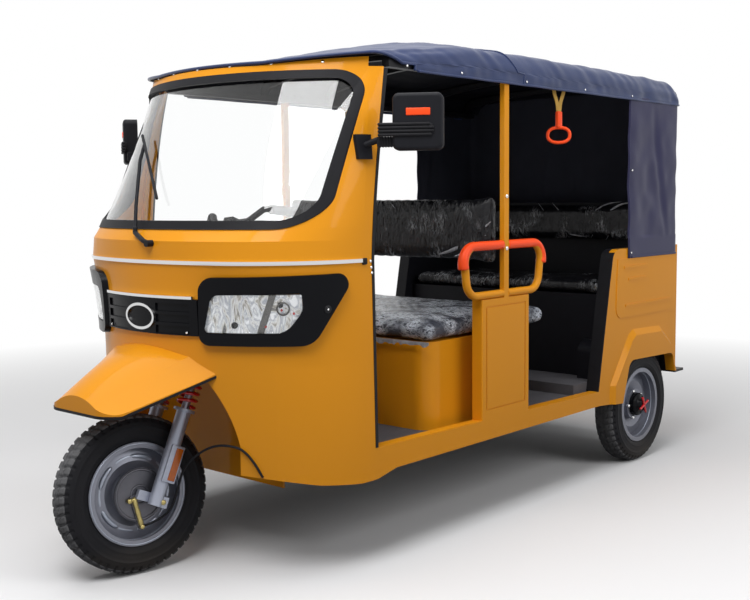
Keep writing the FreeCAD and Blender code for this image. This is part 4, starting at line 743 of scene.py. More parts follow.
# rows run back from the header's curve to the rear; the section is drawn in round the rear corner
def makeRoof():
    columns, rows = 181, 241
    share = np.linspace(-1, 1, columns)[None, :]
    run = np.linspace(0, 1, rows)[:, None]
    half, rear, corner = canopy["half"], canopy["rear"], canopy["corner"]
    flat = canopyPoint(share, np.ones((1, 1)))[0]
    curve = noseCurve(1.690, canopy["overhang"])
    front = np.interp(np.abs(flat) * (nose["half"] + canopy["overhang"]) / half, curve[:, 0], curve[:, 1])
    station = front + (rear - front) * run
    x, z = canopyPoint(share, station)
    tuck = np.clip((station - rear + corner) / corner, 0, 1)
    x = x * (1 - corner * (1 - np.sqrt(1 - tuck**2)) / half)
    grid = at(x, station, z)
    # slack between the bows, ripples that fade towards hem and ends, waves along the sides
    slack = np.zeros_like(x)
    loose = canopy["slack"] * np.clip(1 - np.abs(share) / 0.66, 0, 1)**0.5
    for low, high in zip(canopy["bows"], canopy["bows"][1:]):
        slack += loose * np.sin(math.pi * np.clip((station - low) / (high - low), 0, 1))**2
    calm = np.clip(run / canopy["fade"], 0, 1) * np.clip((1 - run) / canopy["fade"], 0, 1)
    ripple = sum(smoothNoise(slack.shape, seed, passes) * height
                 for seed, passes, height in canopy["ripples"])
    ripple *= calm * np.clip((1 - np.abs(share)) / 0.06, 0, 1)
    wave = canopy["wave"] * np.sin(station * 21 + 2 * np.sin(station * 5)) * calm
    wave *= np.clip((np.abs(share) - 0.8) / 0.2, 0, 1)
    grid = grid + gridNormals(grid) * (ripple - slack + wave)[..., None]
    roof = makePiece("canopyRoof", [sheetParts(grid, canopy["cloth"])], "navy_fabric")
    lineBack(roof, grid, "dark_lining")
    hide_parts("canopy")
    return grid


hanging = {
    # how far waves, noise and pulls push the curtain out or in, and where its foot begins
    "wave": 0.0040,
    "noise": 0.0085,
    "pull": 0.009,
    "hollow": 0.005,
    "foot": 1.04,
}


# x and station along the curtain: back along one side, round the rear, forward along the other
def curtainPath(count):
    half, rear = canopy["half"] - 0.002, canopy["rear"] - 0.001
    front, corner = canopy["curtainFront"], canopy["corner"]
    angle = np.linspace(0, math.pi / 2, 14)
    side = np.stack([np.full(60, half), np.linspace(front, rear - corner, 60)], 1)
    bend = np.stack([half - corner + corner * np.cos(angle), rear - corner + corner * np.sin(angle)], 1)
    back = np.stack([np.linspace(half - corner, 0, 60), np.full(60, rear)], 1)
    near = np.concatenate([side, bend[1:-1], back])
    path = np.concatenate([near, near[::-1][1:] * (-1, 1)])
    length = np.concatenate([[0], np.cumsum(np.linalg.norm(np.diff(path, axis=0), axis=1))])
    even = np.linspace(0, length[-1], count)
    return np.interp(even, length, path[:, 0]), np.interp(even, length, path[:, 1]), even


# the path let down from the roof's edge and pushed in and out by waves, noise and slanting pulls
def makeCurtain():
    x, station, run = curtainPath(321)
    hem, rows = canopy["hem"] + 0.012, 90
    rear = np.clip((station - canopy["rear"] + 0.05) / 0.045, 0, 1)
    acrossRoof, roofHeight = canopyPoint(np.linspace(0, 1, 80), np.full(80, canopy["rear"]))
    crown = np.interp(np.abs(x), acrossRoof, roofHeight) - 0.001
    top = hem * (1 - rear) + rear * np.maximum(crown, hem)
    drop = np.linspace(0, 1, rows)[:, None]
    z = top + (canopy["curtainFoot"] - top) * drop
    outward = np.stack([np.gradient(station), -np.gradient(x)])
    outward /= np.linalg.norm(outward, axis=0)
    belly = np.sin(math.pi * drop)
    fold = hanging["wave"] * np.sin(run * 19 + 1.5 * np.sin(run * 6)) * belly**0.7
    fold += hanging["noise"] * smoothNoise((rows, len(x)), 3, (8, 9)) * belly**0.5
    slant = np.abs(run % 0.9 - 0.22 - 0.16 * drop)
    fold -= (hanging["pull"] * np.exp(-(slant / 0.026)**2) + hanging["hollow"]) * belly
    fold = np.where(z < hanging["foot"], np.maximum(fold, 0.0), fold)  # outside the yellow panel
    grid = at(x + outward[0] * fold, station + outward[1] * fold, z)[:, ::-1]
    # the curtain, its hem and edges take the darker copy of the navy, as painted shade
    curtain = makePiece("canopyCurtain", [sheetParts(grid, canopy["cloth"])], "curtain_fabric_shaded")
    lineBack(curtain, grid, "curtain_lining")
    foot = grid[-1] + (0, 0, 0.004)
    makePiece("curtainHem", [tubeParts(foot[4:-4], 0.0045, 10)], "curtain_fabric_shaded")
    edges = [tubeParts(grid[:, column], 0.004, 8, up=(0, 1, 0)) for column in (1, -2)]
    makePiece("curtainEdge", edges, "curtain_fabric_shaded")


# hems: tubes of cloth along the roof's front, its sides and the seam over the first bow
def makeHems(grid):
    stations = np.linspace(canopy["front"], canopy["rear"], len(grid))
    seam = int(np.abs(stations - canopy["bows"][0]).argmin())
    hems = (
        # name, line, radius, up
        ("canopyPiping", grid[0] + (0, 0.003, 0.001), 0.0055, (0, 0.3, 1)),
        ("canopyHem_left", grid[2:-2, -1], 0.0045, (0, 0, 1)),
        ("canopyHem_right", grid[2:-2, 0], 0.0045, (0, 0, 1)),
        ("canopySeam", grid[seam] + (0, 0, 0.0015), 0.003, (0, 1, 0.2)))
    for name, line, radius, up in hems:
        makePiece(name, [tubeParts(line, radius, 10, up=up)], "navy_fabric")


roofGrid = makeRoof()
makeCurtain()
makeHems(roofGrid)
print("canopy made")

# cushions: rounded slabs, remeshed, blown up as cloth, then folded film over them

cushions = {
    # node: how far its faces stand in before it swells, how far a point may move, fill, finish
    "bench_cushion": (0.010, 0.016, 0.8, "film_bench_lit"),
    "shared_backrest": (0.008, 0.014, 0.8, "film_back"),
    "rear_cushion": (0.008, 0.014, 0.7, "film_back"),
    "rear_backrest": (0.008, 0.014, 0.7, "film_back"),
}
slab = {"corner": 0.024, "long": 0.45, "voxel": 0.010, "longVoxel": 0.012, "fold": 0.0016}
swelling = {"frames": 20, "pressure": 4, "tension": 25, "proud": 0.006}


def setPoints(mesh, points):
    mesh.vertices.foreach_set("co", points.reshape(-1))
    mesh.update()


def makeCushion(node, inset, cap, share, finish):
    low, high = boxOf(node)
    half = (high - low) / 2 - inset
    parts = roundedBox((low + high) / 2, half, min(slab["corner"], half.min() * 0.8))
    piece = makePiece(node.replace("_", "") + "Pad", [parts], finish)
    voxel = slab["longVoxel"] if max(half) > slab["long"] else slab["voxel"]
    addModifier(piece, "REMESH", mode="VOXEL", voxel_size=voxel)
    applyModifiers(piece)
    swell(piece, cap, low, high)
    addModifier(piece, "SUBSURF", levels=1, render_levels=1)
    applyModifiers(piece)
    crease(piece.data, low, high)
    piece.data.polygons.foreach_set("use_smooth", [True] * len(piece.data.polygons))
    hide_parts(node)


# pressure with gravity off; then no point moves beyond the cap or far out of the node's box
def swell(piece, cap, low, high):
    start = pointsOf(piece.data)
    cloth = piece.modifiers.new("cloth", "CLOTH")
    cloth.settings.use_pressure = True
    cloth.settings.uniform_pressure_force = swelling["pressure"]
    cloth.settings.tension_stiffness = swelling["tension"]
    cloth.settings.effector_weights.gravity = 0
    scene = bpy.context.scene
    for timed in (scene, cloth.point_cache):
        timed.frame_start, timed.frame_end = 1, swelling["frames"]
    for number in range(swelling["frames"]):
        scene.frame_set(number + 1)
    applyModifiers(piece)
    scene.frame_set(1)
    moved = pointsOf(piece.data) - start
    far = np.linalg.norm(moved, axis=1, keepdims=True)
    moved *= np.minimum(1, cap / np.maximum(far, 1e-9))
    setPoints(piece.data, np.clip(start + moved, low - swelling["proud"], high + swelling["proud"]))


# the film's folds: each point goes out along its normal by the size of a slanting, bent sine wave,
# which is highest near the middle of the slab
def crease(mesh, low, high):
    points = pointsOf(mesh)
    place = np.abs(points - (low + high) / 2) / ((high - low) / 2)
    edge = np.clip(1.15 - place[:, 0], 0, 1) * np.clip(1.1 - place[:, 1], 0, 1)
    phase = points[:, 0] * 61 + 9 * np.sin(points[:, 1] * 7) + 4 * np.sin(points[:, 2] * 11)
    lift = slab["fold"] * np.abs(np.sin(phase)) * (0.4 + edge)
    normal = np.empty(len(points) * 3)
    mesh.vertices.foreach_get("normal", normal)
    setPoints(mesh, points + normal.reshape(-1, 3) * lift[:, None])


for node, values in cushions.items():
    makeCushion(node, *values)

# folds of the film: thin raised lines on the backrests' front faces, bowed between their ends, pale grey as a
# painted highlight

folds = {
    "shared_backrest": (  # x, height, x, height, bow, radius
        (0.30, 1.005, 0.55, 1.135, -0.020, 0.0060), (0.38, 1.000, 0.53, 1.085, -0.015, 0.0040),
        (-0.52, 1.150, -0.20, 1.030, 0.015, 0.0016), (-0.30, 1.200, -0.05, 1.060, 0.010, 0.0014),
        (0.05, 1.215, 0.22, 1.020, 0.012, 0.0014)),
    "rear_backrest": (
        (-0.02, 1.195, 0.26, 1.035, -0.050, 0.0022), (0.06, 1.198, 0.34, 1.060, -0.045, 0.0022),
        (0.50, 1.195, 0.28, 1.030, 0.050, 0.0028), (0.53, 1.150, 0.36, 1.020, 0.040, 0.0020),
        (-0.40, 1.180, -0.10, 1.050, -0.030, 0.0016), (0.44, 1.200, 0.20, 1.060, 0.040, 0.0018)),
}


def makeFolds():
    parts = []
    t = np.linspace(0, 1, 26)
    size = 2 * np.sin(math.pi * (0.04 + 0.92 * t))
    for node, lines in folds.items():
        front = boxOf(node)[0][1]
        for x0, z0, x1, z1, bow, radius in lines:
            z = z0 + (z1 - z0) * t + bow * np.sin(math.pi * t)
            path = np.stack([x0 + (x1 - x0) * t, 0 * t + front + radius * 1.1, z], 1)
            parts.append(tubeParts(path, radius * size, 8, up=(0, 1, 0)))
    makePiece("filmFolds", parts, "film_highlight")


makeFolds()

# loose film below the front edge of the bench's cushion: it drops by a least drop, the square of a
# random line and one bell-shaped flap, and waves more the further down it hangs

fringe = {
    "start": 0.03, "tuck": 0.007, "proud": 0.0030, "thick": 0.0008, "wave": 0.0022,
    "drop": 0.003, "ragged": 0.012, "corners": 70,
    "flap": 0.034, "flapPlace": 0.72, "flapWidth": 0.025,
}


def makeFringe():
    low, high = boxOf("bench_cushion")
    count, start, tuck = fringe["corners"], fringe["start"], fringe["tuck"]
    t = np.linspace(0, 1, 260)
    x = low[0] + start + (high[0] - low[0] - start) * t
    ragged = np.interp(t, np.linspace(0, 1, count), np.random.default_rng(12).random(count))
    flap = np.exp(-((t - fringe["flapPlace"]) / fringe["flapWidth"])**2)
    drop = fringe["drop"] + fringe["ragged"] * ragged**2 + fringe["flap"] * flap
    down = np.linspace(0, 1, 12)[:, None]
    z = low[2] + tuck - (tuck + drop) * down
    y = low[1] - fringe["proud"] + fringe["wave"] * np.sin(x * 160 + 3 * np.sin(x * 37)) * down
    grid = np.stack(np.broadcast_arrays(x, y, z), -1)
    # the loose film is pale grey as a painted highlight
    film = makePiece("filmFringe", [sheetParts(grid, fringe["thick"])], "film_highlight")


makeFringe()
print("cushions made")

# tyres: a turned section whose crown is cut by lateral and ring grooves

tyre = {
    "section": (  # distance from the axle, place along it
        (0.158, 0.0), (0.158, 0.030), (0.158, 0.043), (0.173, 0.043), (0.178, 0.049), (0.185, 0.054),
        (0.190, 0.0545), (0.192, 0.0562), (0.195, 0.0550), (0.204, 0.0558), (0.212, 0.056),
        (0.222, 0.0552), (0.2235, 0.0565), (0.2255, 0.0548), (0.230, 0.0540), (0.236, 0.052)),
    "shoulders": ((0.236, 0.052), (0.255, 0.042), (0.262, 0.026)),
    "lugs": 52,
    "depth": 0.007,
    "tread": 0.2505,
}


# grooves: slanting cuts in each half, a zigzag along the middle and a ring in each half
def tread(far, along, turn):
    phase = turn * tyre["lugs"] / (2 * math.pi)
    zig = np.abs((phase % 1) - 0.5) * 4 - 1
    away = np.abs(along)
    lateral = np.abs(((phase + 0.5 * (along > 0) + away * 7.0) % 1) - 0.5)
    cut = np.clip((0.17 - lateral) / 0.05, 0, 1) * np.clip((away - 0.0065) / 0.002, 0, 1)
    middle = np.clip((0.0034 - np.abs(away - 0.0032 * zig - 0.001)) / 0.0012, 0, 1)
    ring = np.clip((0.0024 - np.abs(away - 0.0245 - 0.0020 * zig)) / 0.0010, 0, 1)
    crown = np.clip((far - 0.2385) / 0.006, 0, 1)
    return far - tyre["depth"] * np.maximum(np.maximum(cut, middle), ring) * crown


def axleOf(body, outward=1):
    return np.array(joints[body + "_spin"]["axis"], float) * outward


def makeTyre(name, node, body):
    centre, axis = middleOf(node), axleOf(body)
    foot, bend, top = np.array(tyre["shoulders"])
    share = np.linspace(0, 1, 9)[1:, None]
    across = np.linspace(top[1], 0, 16)[1:]
    half = np.concatenate([tyre["section"], foot + (bend - foot) * share, bend + (top - bend) * share,
                           np.stack([0 * across + top[0], across], 1)])
    profile = np.concatenate([half, half[::-1][1:-1] * (1, -1)])
    parts = turnedParts(profile, centre, axis, tyre["lugs"] * 9, closed=True, shape=tread)
    piece = makePiece(name, [parts], "tyre", body=body, node=node)
    mesh = piece.data
    flat = np.empty(len(mesh.polygons) * 3)
    mesh.polygons.foreach_get("center", flat)
    away = flat.reshape(-1, 3) - centre
    far = np.linalg.norm(away - (away @ axis)[:, None] * axis, axis=1)
    mesh.materials.append(finishes["tread_dust"])
    mesh.polygons.foreach_set("material_index", (far > tyre["tread"]).astype(int))


makeTyre("frontTread", "front_tyre", "front_wheel")
makeTyre("rearTreadLeft", "rear_tyre_left", "rear_wheel_left")
makeTyre("rearTreadRight", "rear_tyre_right", "rear_wheel_right")

# rim details: beads round flange and well, and pressed pockets, in a lighter copy of the rim's finish as
# painted highlight

rims = {
    # name: node, body, side it faces, place of the pockets along the axle
    "frontRim": ("front_rim", "front_wheel", 1, 0.014),
    "frontRimFar": ("front_rim", "front_wheel", -1, -0.010),
    "rearRimLeft": ("rear_rim_left", "rear_wheel_left", 1, -0.002),
    "rearRimRight": ("rear_rim_right", "rear_wheel_right", -1, -0.002),
}


beads = (  # radius, place along the axle, points, thickness
    (0.1655, 0.0475, 96, 0.0028),
    (0.1535, 0.030, 96, 0.0032))
pocket = {"count": 5, "first": 0.3, "span": 0.72, "radius": 0.121, "half": 0.0105}


def makeRimDetails(name, node, body, outward, dish):
    centre, axis = middleOf(node), axleOf(body, outward)
    rings = [ringParts(centre, axis, *bead) for bead in beads]
    makePiece(name + "Bead", rings, "rim_highlight", body=body)
    size = pocket["half"] * np.sqrt(np.clip(1 - np.linspace(-1, 1, 24)**4, 0.02, 1))
    starts = np.arange(pocket["count"]) * 2 * math.pi / pocket["count"] + pocket["first"]
    lines = [arcLine(centre, axis, pocket["radius"], dish, start, start + pocket["span"]) for start in starts]
    pockets = [tubeParts(line, size, 12, up=axis) for line in lines]
    makePiece(name + "Pockets", pockets, "rim_highlight", body=body)


for name, values in rims.items():
    makeRimDetails(name, *values)
print("wheels made")

# rear hubs: a black cap, five nuts and a small cross piece

hub = {
    "cap": ((0.002, 0.066), (0.022, 0.066), (0.028, 0.062), (0.030, 0.050), (0.046, 0.048), (0.052, 0.042),
            (0.054, 0.018), (0.002, 0.018)),
    "nuts": (0.064, 0.021),  # distance from the axle, place along it
    "cross": (0.040, 0.069),
}


def makeHub(name, body, outward):
    centre, axis = np.array(joints[body + "_spin"]["pos_m"]), axleOf(body, outward)
    makePiece(name + "Cap", [turnedParts(hub["cap"], centre, axis, 40)], "black_gloss", body=body)
    nuts = [headParts(place, axis, 0.0085, 0.010, 6) for place in circleLine(centre, axis, *hub["nuts"], 5)]
    makePiece(name + "Nuts", nuts, "chrome", body=body)
    cross = []
    for turn in (0.4, 0.4 + math.pi / 2):
        ends = arcLine(centre, axis, *hub["cross"], turn, turn + math.pi, 2)
        cross.append(tubeParts(np.linspace(*ends, 9), 0.0055, 10, up=axis))
    makePiece(name + "Cross", cross, "red_paint", body=body)


makeHub("rearHubLeft", "rear_wheel_left", 1)
makeHub("rearHubRight", "rear_wheel_right", -1)

# fork: coil springs, reflector plates, foot bolts and the brake lever, in the steered frame

fork = {
    "legHalf": 0.096, "lead": 0.012,
    "foot": 0.290, "rise": 0.127, "coil": 0.0295, "wire": 0.0056, "turns": 5.5,
    "plate": (0.0265, 0.006, 0.097),  # out from the leg, back from it, height above the frame's origin
    "plateHalf": (0.0045, 0.024, 0.062),
    "lens": (0.004, 0.0065, 0),  # from the plate's middle
    "lensHalf": (0.0030, 0.0125, 0.054),
    "bolt": (0.019, 0.017, -0.004),  # out from the leg, back from it, above the axle
}
lever = {
    "top": (0.066, -0.020, -0.016),
    "tip": (0.066, 0.039, -0.097),
    "thick": (0.0068, 0.0022),  # least thickness, and what its three swellings add
    "ear": 0.017,
    "plate": 0.058,
    "rings": ((0.082, 0, 72, 0.0045), (0.030, 0, 48, 0.004)),  # radius, place, points, thickness
}
sideways = np.array((1.0, 0, 0))


def steeredPiece(name, parts, finish, node=None):
    makePiece(name, [(steered(points), faces) for points, faces in parts], finish, "steering", node)


# a coil is a circle that climbs evenly
def makeFork():
    coils, frames, ambers, bolts = [], [], [], []
    t = np.linspace(0, 1, 260)
    turn = t * fork["turns"] * 2 * math.pi
    rise = fork["foot"] + fork["rise"] * t
    coil = np.stack([fork["coil"] * np.cos(turn), fork["coil"] * np.sin(turn), rise], 1)
    leg = np.array((fork["legHalf"], -fork["lead"], 0))
    for side in (1, -1):
        mirrored = (side, 1, 1)
        coils.append(tubeParts((leg + coil) * mirrored, fork["wire"], 10))
        frames.append(roundedBox((leg + fork["plate"]) * mirrored, fork["plateHalf"], 0.002))
        lens = (leg + fork["plate"] + fork["lens"]) * mirrored
        ambers.append(roundedBox(lens, fork["lensHalf"], 0.0015))
        place = (leg + fork["bolt"] + (0, 0, axleInFork[2])) * mirrored
        bolts.append(headParts(place, side * sideways, 0.0095, 0.007, 6))
    steeredPiece("forkCoils", coils, "red_paint", "fork_springs")
    steeredPiece("reflectorFrames", frames, "silver_paint")
    steeredPiece("reflectorLenses", ambers, "amber_lens")
    steeredPiece("clampBolts", bolts, "yellow_zinc")


def makeBrakeLever():
    top, tip = axleInFork + lever["top"], axleInFork + lever["tip"]
    top[0] = tip[0] = lever["top"][0]
    least, more = lever["thick"]
    size = least + more * np.abs(np.sin(np.linspace(0, math.pi * 3, 12)))
    parts = [tubeParts(np.linspace(top, tip, 12), size, 10, up=sideways)]
    run = (tip - top) / np.linalg.norm(tip - top)
    square = np.cross(run, sideways) * lever["ear"]
    root = top + run * 0.004
    for ear in (root - square, root + square):
        parts.append(tubeParts(np.linspace(root, ear, 5), 0.0062, 8, up=sideways))
        parts.append(headParts(ear + sideways * 0.002, sideways, 0.0085, 0.006, 8))
    parts.append(headParts(tip + sideways * 0.004, sideways, 0.0080, 0.006, 10))
    steeredPiece("brakeLever", parts, "yellow_zinc")
    plate = axleInFork + sideways * lever["plate"]
    rings = [ringParts(plate, sideways, *ring) for ring in lever["rings"]]
    steeredPiece("brakePlateRings", rings, "dark_steel")


makeFork()
makeBrakeLever()
print("fork made")

# headlamps: bowls painted with facet reflections, with bulb, divider and ring behind a clear lens, across the
# nose's corner

lamp = {
    "chord": (0.231, 0.097, 46.2),  # start x, start station, lean
    "outline": np.array([  # distance along the chord and height: left foot and head, then the right
        ((0.026, 0.808), (0.052, 0.930)),
        ((0.285, 0.812), (0.340, 0.880)),
        ((0.340, 0.880), (0.337, 0.937))]),
    "lensProud": 0.0158,
    "bowlProud": 0.0090,
    "dish": 0.006,
    "divider": np.array([((0.195, 0.812), (0.235, 0.932)), ((0.217, 0.812), (0.257, 0.931))]),
    "outward": (0.72, -0.69, 0.0),
    "bulbs": (  # distance, height, radius, sides
        (0.125, 0.835, 0.0105, 20), (0.270, 0.900, 0.0085, 16)),
    "dots": ((0.273, 0.884), (0.311, 0.873), (0.223, 0.832)),
    "ring": (0.278, 0.888, 0.019, 0.0028),  # distance, height, radius, thickness
    "bulbProud": 0.0095,
    "ringProud": 0.0115,
    "dotProud": 0.0105,
}


# a point of the nose at a distance along the chord
def onChord(u, height, proud, side):
    startX, startStation, lean = lamp["chord"]
    curve = noseCurve(height, proud)
    along = (curve - (startX, startStation)) @ (math.cos(math.radians(lean)), math.sin(math.radians(lean)))
    order = np.argsort(along)
    x, station = (np.interp(u, along[order], curve[order, k]) for k in (0, 1))
    return at(side * x, station, height)


# a row of the nose's surface between two points of the lamp's plan, at their mean height
def chordRow(left, right, count, proud, side):
    return onChord(np.linspace(left[0], right[0], count), (left[1] + right[1]) / 2, proud, side)


def between(ends, t):
    return ends[0] * (1 - t) + ends[1] * t


def lampOutward(side):
    return np.array(lamp["outward"]) * (side, 1, 1)


# a bowl's dish: the absolute sine of the distance across times the sine of the height
def lampGrid(proud, side, dish=0.0):
    left, low, high = lamp["outline"]
    count = 61
    bulge = dish * np.abs(np.sin(np.linspace(0, 1, count) * math.pi * 1.6))[:, None]
    rows = []
    for v in np.linspace(0, 1, 31):
        right = between(low, v * 2) if v < 0.5 else between(high, v * 2 - 1)
        row = chordRow(between(left, v), right, count, proud, side)
        rows.append(row - bulge * math.sin(v * math.pi) * lampOutward(side))
    return np.array(rows)


def dividerGrid(side):
    count = 9
    ridge = (0.0005 * (np.arange(count) % 2) + 0.0012)[:, None] * lampOutward(side)
    left, right = lamp["divider"]
    return np.array([chordRow(between(left, v), between(right, v), count, lamp["bowlProud"], side) + ridge
                     for v in np.linspace(0, 1, 40)])


def makeHeadlamps():
    lenses, bowls, bulbs, dividers, dots, rings = [], [], [], [], [], []
    for side in (1, -1):
        out = lampOutward(side)
        lenses.append(sheetParts(lampGrid(lamp["lensProud"], side), 0.0025))
        bowls.append(sheetParts(lampGrid(lamp["bowlProud"], side, lamp["dish"]), 0.003))
        dividers.append(sheetParts(dividerGrid(side), 0.003))
        for u, height, radius, sides in lamp["bulbs"]:
            bulbs.append(headParts(onChord(u, height, lamp["bulbProud"], side), out, radius, 0.0035, sides))
        u, height, radius, thick = lamp["ring"]
        rings.append(ringParts(onChord(u, height, lamp["ringProud"], side), out, radius, 0, 40, thick))
        for u, height in lamp["dots"]:
            dots.append(headParts(onChord(u, height, lamp["dotProud"], side), out, 0.0042, 0.0025, 10))
    makePiece("lampLenses", lenses, "clear_glass", node="headlamp_lenses")
    makePiece("lampBowls", bowls, "lamp_facet_reflections", node="headlamp_reflectors")
    makePiece("lampBulbs", bulbs, "black_gloss")
    makePiece("lampDividers", dividers, "lamp_divider")
    makePiece("lampRings", rings, "lamp_divider")
    makePiece("lampDots", dots, "red_plastic")


makeHeadlamps()

# small fittings: screws, rivets, snaps and the belt strip's rubber ends

fittings = {
    "maskScrew": (0.586, 0.883, 0.0205),  # x, height, how proud of the nose
    "maskRivet": (0.205, 0.806, 0.0105),
    "header": (0.45, 1.671),  # half width of the row, height
    "side": (
        # x, radius, head, sides, then stations and heights
        (0.604, 0.0050, 0.0035, 8, ((0.517, 1.026), (0.520, 1.006), (0.523, 0.988))),
        (0.6045, 0.0085, 0.0060, 8, ((1.288, 1.231), (1.288, 1.035))),
        (0.6125, 0.0045, 0.0028, 12, [(station, 1.663) for station in (0.70, 1.00, 1.41, 1.84, 2.24)]),
        (0.6125, 0.0050, 0.0028, 12, ((2.250, 1.34), (2.250, 0.975)))),
}


def noseSpot(spot, side=1):
    x, height, proud = spot
    return onNose(x, height, proud) * (side, 1, 1), noseNormal(x, height) * (side, 1, 1)


def makeFittings():
    silver, black = [], []
    for side in (1, -1):
        place, normal = noseSpot(fittings["maskScrew"], side)
        black.append(headParts(place, normal, 0.0125, 0.0016, 20))
        silver.append(headParts(place + normal * 0.001, normal, 0.0034, 0.0022, 10))
        silver.append(headParts(*noseSpot(fittings["maskRivet"], side), 0.0040, 0.0020, 10))
        for x, radius, head, sides, places in fittings["side"]:
            silver += [headParts(at(side * x, *place), (side, 0, 0), radius, head, sides) for place in places]
    half, height = fittings["header"]
    for x in np.linspace(-half, half, 7):
        silver.append(headParts(*noseSpot((x, height, 0.0)), 0.0055, 0.0025, 12))
    makePiece("silverFittings", silver, "chrome")
    makePiece("blackFittings", black, "black_steel")
    trimEnd, trimTop = boxOf("chrome_trim")[1][1:]
    ends = [roundedBox((side * 0.6070, trimEnd + 0.006, trimTop - 0.009), (0.0042, 0.010, 0.0105), 0.003)
            for side in (1, -1)]
    makePiece("beltEnds", ends, "black_rubber")


makeFittings()

# grab covers: a moulded bar over the loop's top whose wide ends droop over the corners

cover = {"x": 0.592, "middle": 1.288, "half": 0.2575, "top": 1.049, "corner": 0.062, "drop": 0.080,
         "radius": 0.0172, "endRadius": 0.0212}


# half a bar, as distance from its middle and height: a short leg, a corner and the straight top
def coverLine():
    corner, half, top = cover["corner"], cover["half"], cover["top"]
    down = np.linspace(cover["drop"], corner, 5)[:-1]
    leg = np.stack([half - 0.027 * (down - corner) / 0.16, top - down], 1)
    angle = np.linspace(0, math.pi / 2, 12)
    bend = np.stack([half - corner + corner * np.cos(angle), top - corner + corner * np.sin(angle)], 1)
    flat = np.linspace(half - corner, 0.016, 24)[1:]
    return np.concatenate([leg, bend, np.stack([flat, 0 * flat + top], 1)])


def makeCovers():
    away, height = coverLine().T
    t = np.linspace(0, 1, len(away))
    size = cover["radius"] + (cover["endRadius"] - cover["radius"]) * np.clip(1 - t / 0.35, 0, 1)
    size[0] *= 0.90
    parts = [tubeParts(at(side * cover["x"], cover["middle"] + way * away, height), size, 18, up=(1, 0, 0))
             for side in (1, -1) for way in (1, -1)]
    makePiece("grabGrips", parts, "orange_plastic", node="grab_covers")


makeCovers()

# hand straps: an oval ring and its sleeve, hung on two webs that spread towards the rail; the oval's
# half sizes go with the sine and the cosine, each raised to the power and keeping its sign

strap = {"x": 0.576, "station": 1.697, "ring": 1.475, "turn": 40.0, "half": (0.0445, 0.030), "tube": 0.0068,
         "power": 0.85, "sleeve": 0.062, "sleeveHalf": (0.0085, 0.0155, 0.033),
         "webFoot": 0.088, "webHead": 1.652, "spread": 0.034, "webHalf": 0.0125, "webThick": 0.0022}


def makeStraps():
    rings, webs = [], []
    turn = np.linspace(0, 2 * math.pi, 64, endpoint=False)
    flat, rise = (half * np.sign(wave) * np.abs(wave)**strap["power"]
                  for half, wave in zip(strap["half"], (np.cos(turn), np.sin(turn))))
    c, s = math.cos(math.radians(strap["turn"])), math.sin(math.radians(strap["turn"]))
    t = np.linspace(0, 1, 20)[:, None]
    across = np.linspace(-strap["webHalf"], strap["webHalf"], 7)[None, :]
    foot = strap["ring"] + strap["webFoot"]
    for side in (1, -1):
        path = at(side * (strap["x"] + flat * c), strap["station"] + flat * s, strap["ring"] + rise)
        rings.append(tubeParts(path, strap["tube"], 12, up=(side * -s, c, 0), closed=True))
        rings.append(roundedBox(at(side * strap["x"], strap["station"], strap["ring"] + strap["sleeve"]),
                                strap["sleeveHalf"], 0.005))
        for spread in (-strap["spread"], strap["spread"]):
            x = side * (strap["x"] + 0.0018 * np.sin(t * 7 + spread * 40))
            grid = at(x, strap["station"] + spread * t + across, foot + (strap["webHead"] - foot) * t)
            webs.append(sheetParts(grid, strap["webThick"]))
    makePiece("strapRings", rings, "orange_plastic", node="hand_straps")
    makePiece("strapWebs", webs, "webbing")


makeStraps()

# mirrors: an orange reflector on each housing, ribs on the sleeve, glass at the rear

mirror = {
    "place": (0.761, 0.574, 1.466),  # x, station, height
    "turn": 34.0,
    "boxes": {
        # piece and finish: each box's centre, half sizes and corner
        ("mirrorStripes", "orange_plastic"): [((0.002, -0.0285, 0.030), (0.038, 0.0025, 0.0115), 0.0024)],
        ("mirrorRibs", "black_rubber"): [
            ((-0.038, -0.0245, -0.0245), (0.085, 0.0080, 0.0190), 0.006),
            *((((reach - 0.125) / 2, -0.0295, z), ((reach + 0.125) / 2, 0.0075, 0.0048), 0.0040)
              for z, reach in ((-0.008, 0.040), (-0.019, 0.052), (-0.030, 0.052), (-0.041, 0.046))),
            *(((x, 0, -0.061), (0.0028, 0.0160, 0.0170), 0.0025)
              for x in (-0.122, -0.113, -0.104, -0.095, -0.086))],
        ("mirrorGlass", "chrome"): [((0, 0.0275, 0), (0.068, 0.0015, 0.077), 0.0014)],
    },
}


def onMirror(parts, side):
    points, faces = parts
    c, s = math.cos(math.radians(mirror["turn"])), math.sin(math.radians(mirror["turn"]))
    x, station, height = mirror["place"]
    across, back, up = points.T
    return at(side * (across * c - back * s + x), across * s + back * c + station, up + height), faces


for (name, finish), boxes in mirror["boxes"].items():
    parts = [onMirror(roundedBox(*box), side) for side in (1, -1) for box in boxes]
    makePiece(name, parts, finish)
print("fittings made")

# floor, sky and lamps

light = {
    "sky": 0.185,
    "floorColour": (0.86, 0.86, 0.87, 1),
    "floorBounce": (0.08, 0.08, 0.085, 1),
    "floorFade": (2.0, 5.5),
    "floorRadius": 40,
    "lamps": (
        # name, x, station, height, size x, size y, power, target height
        ("key", 1.3, -1.7, 3.8, 1.8, 1.6, 82, 0.9),
        ("top", 0.0, 0.6, 4.8, 5.0, 4.4, 170, 0.9),
        ("side", 5.0, 1.8, 3.4, 3.0, 2.5, 95, 0.9),
    ),
}


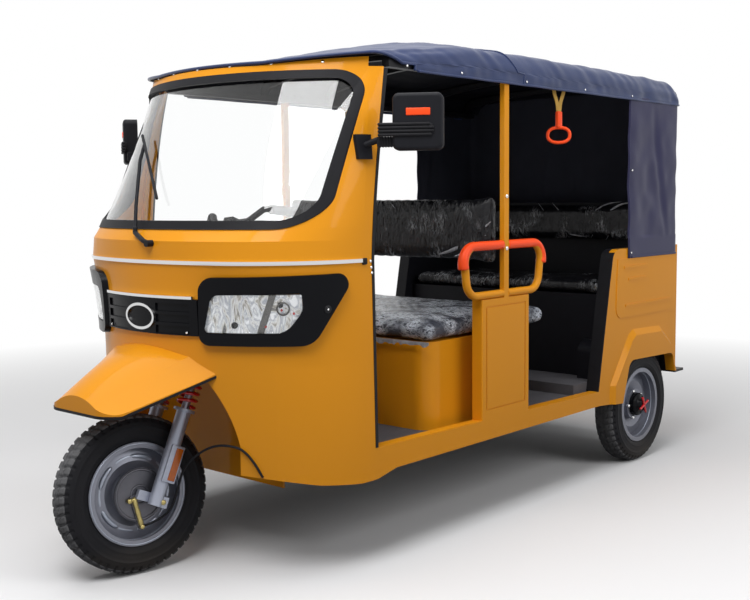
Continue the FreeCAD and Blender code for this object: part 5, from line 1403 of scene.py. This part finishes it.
def seenDirectly(tree):
    path = addNode(tree, "LightPath", {})
    seen = mathNode(tree, "ADD", path["Is Camera Ray"], path["Is Glossy Ray"])
    return mathNode(tree, "ADD", seen, path["Is Transmission Ray"], clamp=True)


# white where it is seen, dimmer as a light
def makeSky():
    world = bpy.data.worlds.new("sky")
    bpy.context.scene.world = world
    world.use_nodes = True
    tree = world.node_tree
    strength = mathNode(tree, "MULTIPLY_ADD", seenDirectly(tree), 1.0 - light["sky"], light["sky"])
    fill(tree, tree.nodes["Background"], {"Color": (1, 1, 1, 1), "Strength": strength})


# a pale disc that bounces little light and glows into the white of the sky further out
def makeFloor():
    mat, tree, shader = makeMaterial("pale_floor")
    colour = mixColours(tree, seenDirectly(tree), light["floorBounce"], light["floorColour"])
    fill(tree, shader, {"Roughness": 0.9, "Specular IOR Level": 0.1, "Base Color": colour})
    far = addNode(tree, "VectorMath", {0: objectPlace(tree)}, operation="LENGTH")["Value"]
    ramp = addNode(tree, "MapRange", dict(zip(("Value", "From Min", "From Max"), (far, *light["floorFade"]))))
    glow = addNode(tree, "Emission", {})
    mixer = addNode(tree, "MixShader", {0: ramp["Result"], 1: shader.outputs[0], 2: glow[0]})
    fill(tree, tree.nodes["Material Output"], {"Surface": mixer[0]})
    angle = np.linspace(0, 2 * math.pi, 97)[:-1]
    ring = np.stack([np.cos(angle), np.sin(angle), 0 * angle], 1) * light["floorRadius"]
    mesh = bpy.data.meshes.new("floor")
    mesh.from_pydata(ring.tolist(), [], [list(range(len(ring)))])
    mesh.materials.append(mat)
    addObject("floor", mesh)


def makeLamps():
    for name, x, station, height, sizeX, sizeY, power, aim in light["lamps"]:
        data = bpy.data.lights.new(name, "AREA")
        data.shape = "RECTANGLE"
        data.size, data.size_y, data.energy = sizeX, sizeY, power
        source = addObject(name, data)
        source.location = Vector(at(x, station, height))
        source.rotation_euler = (Vector((0, 0, aim)) - source.location).to_track_quat("-Z", "Y").to_euler()


makeSky()
makeFloor()
makeLamps()
print("stage made")
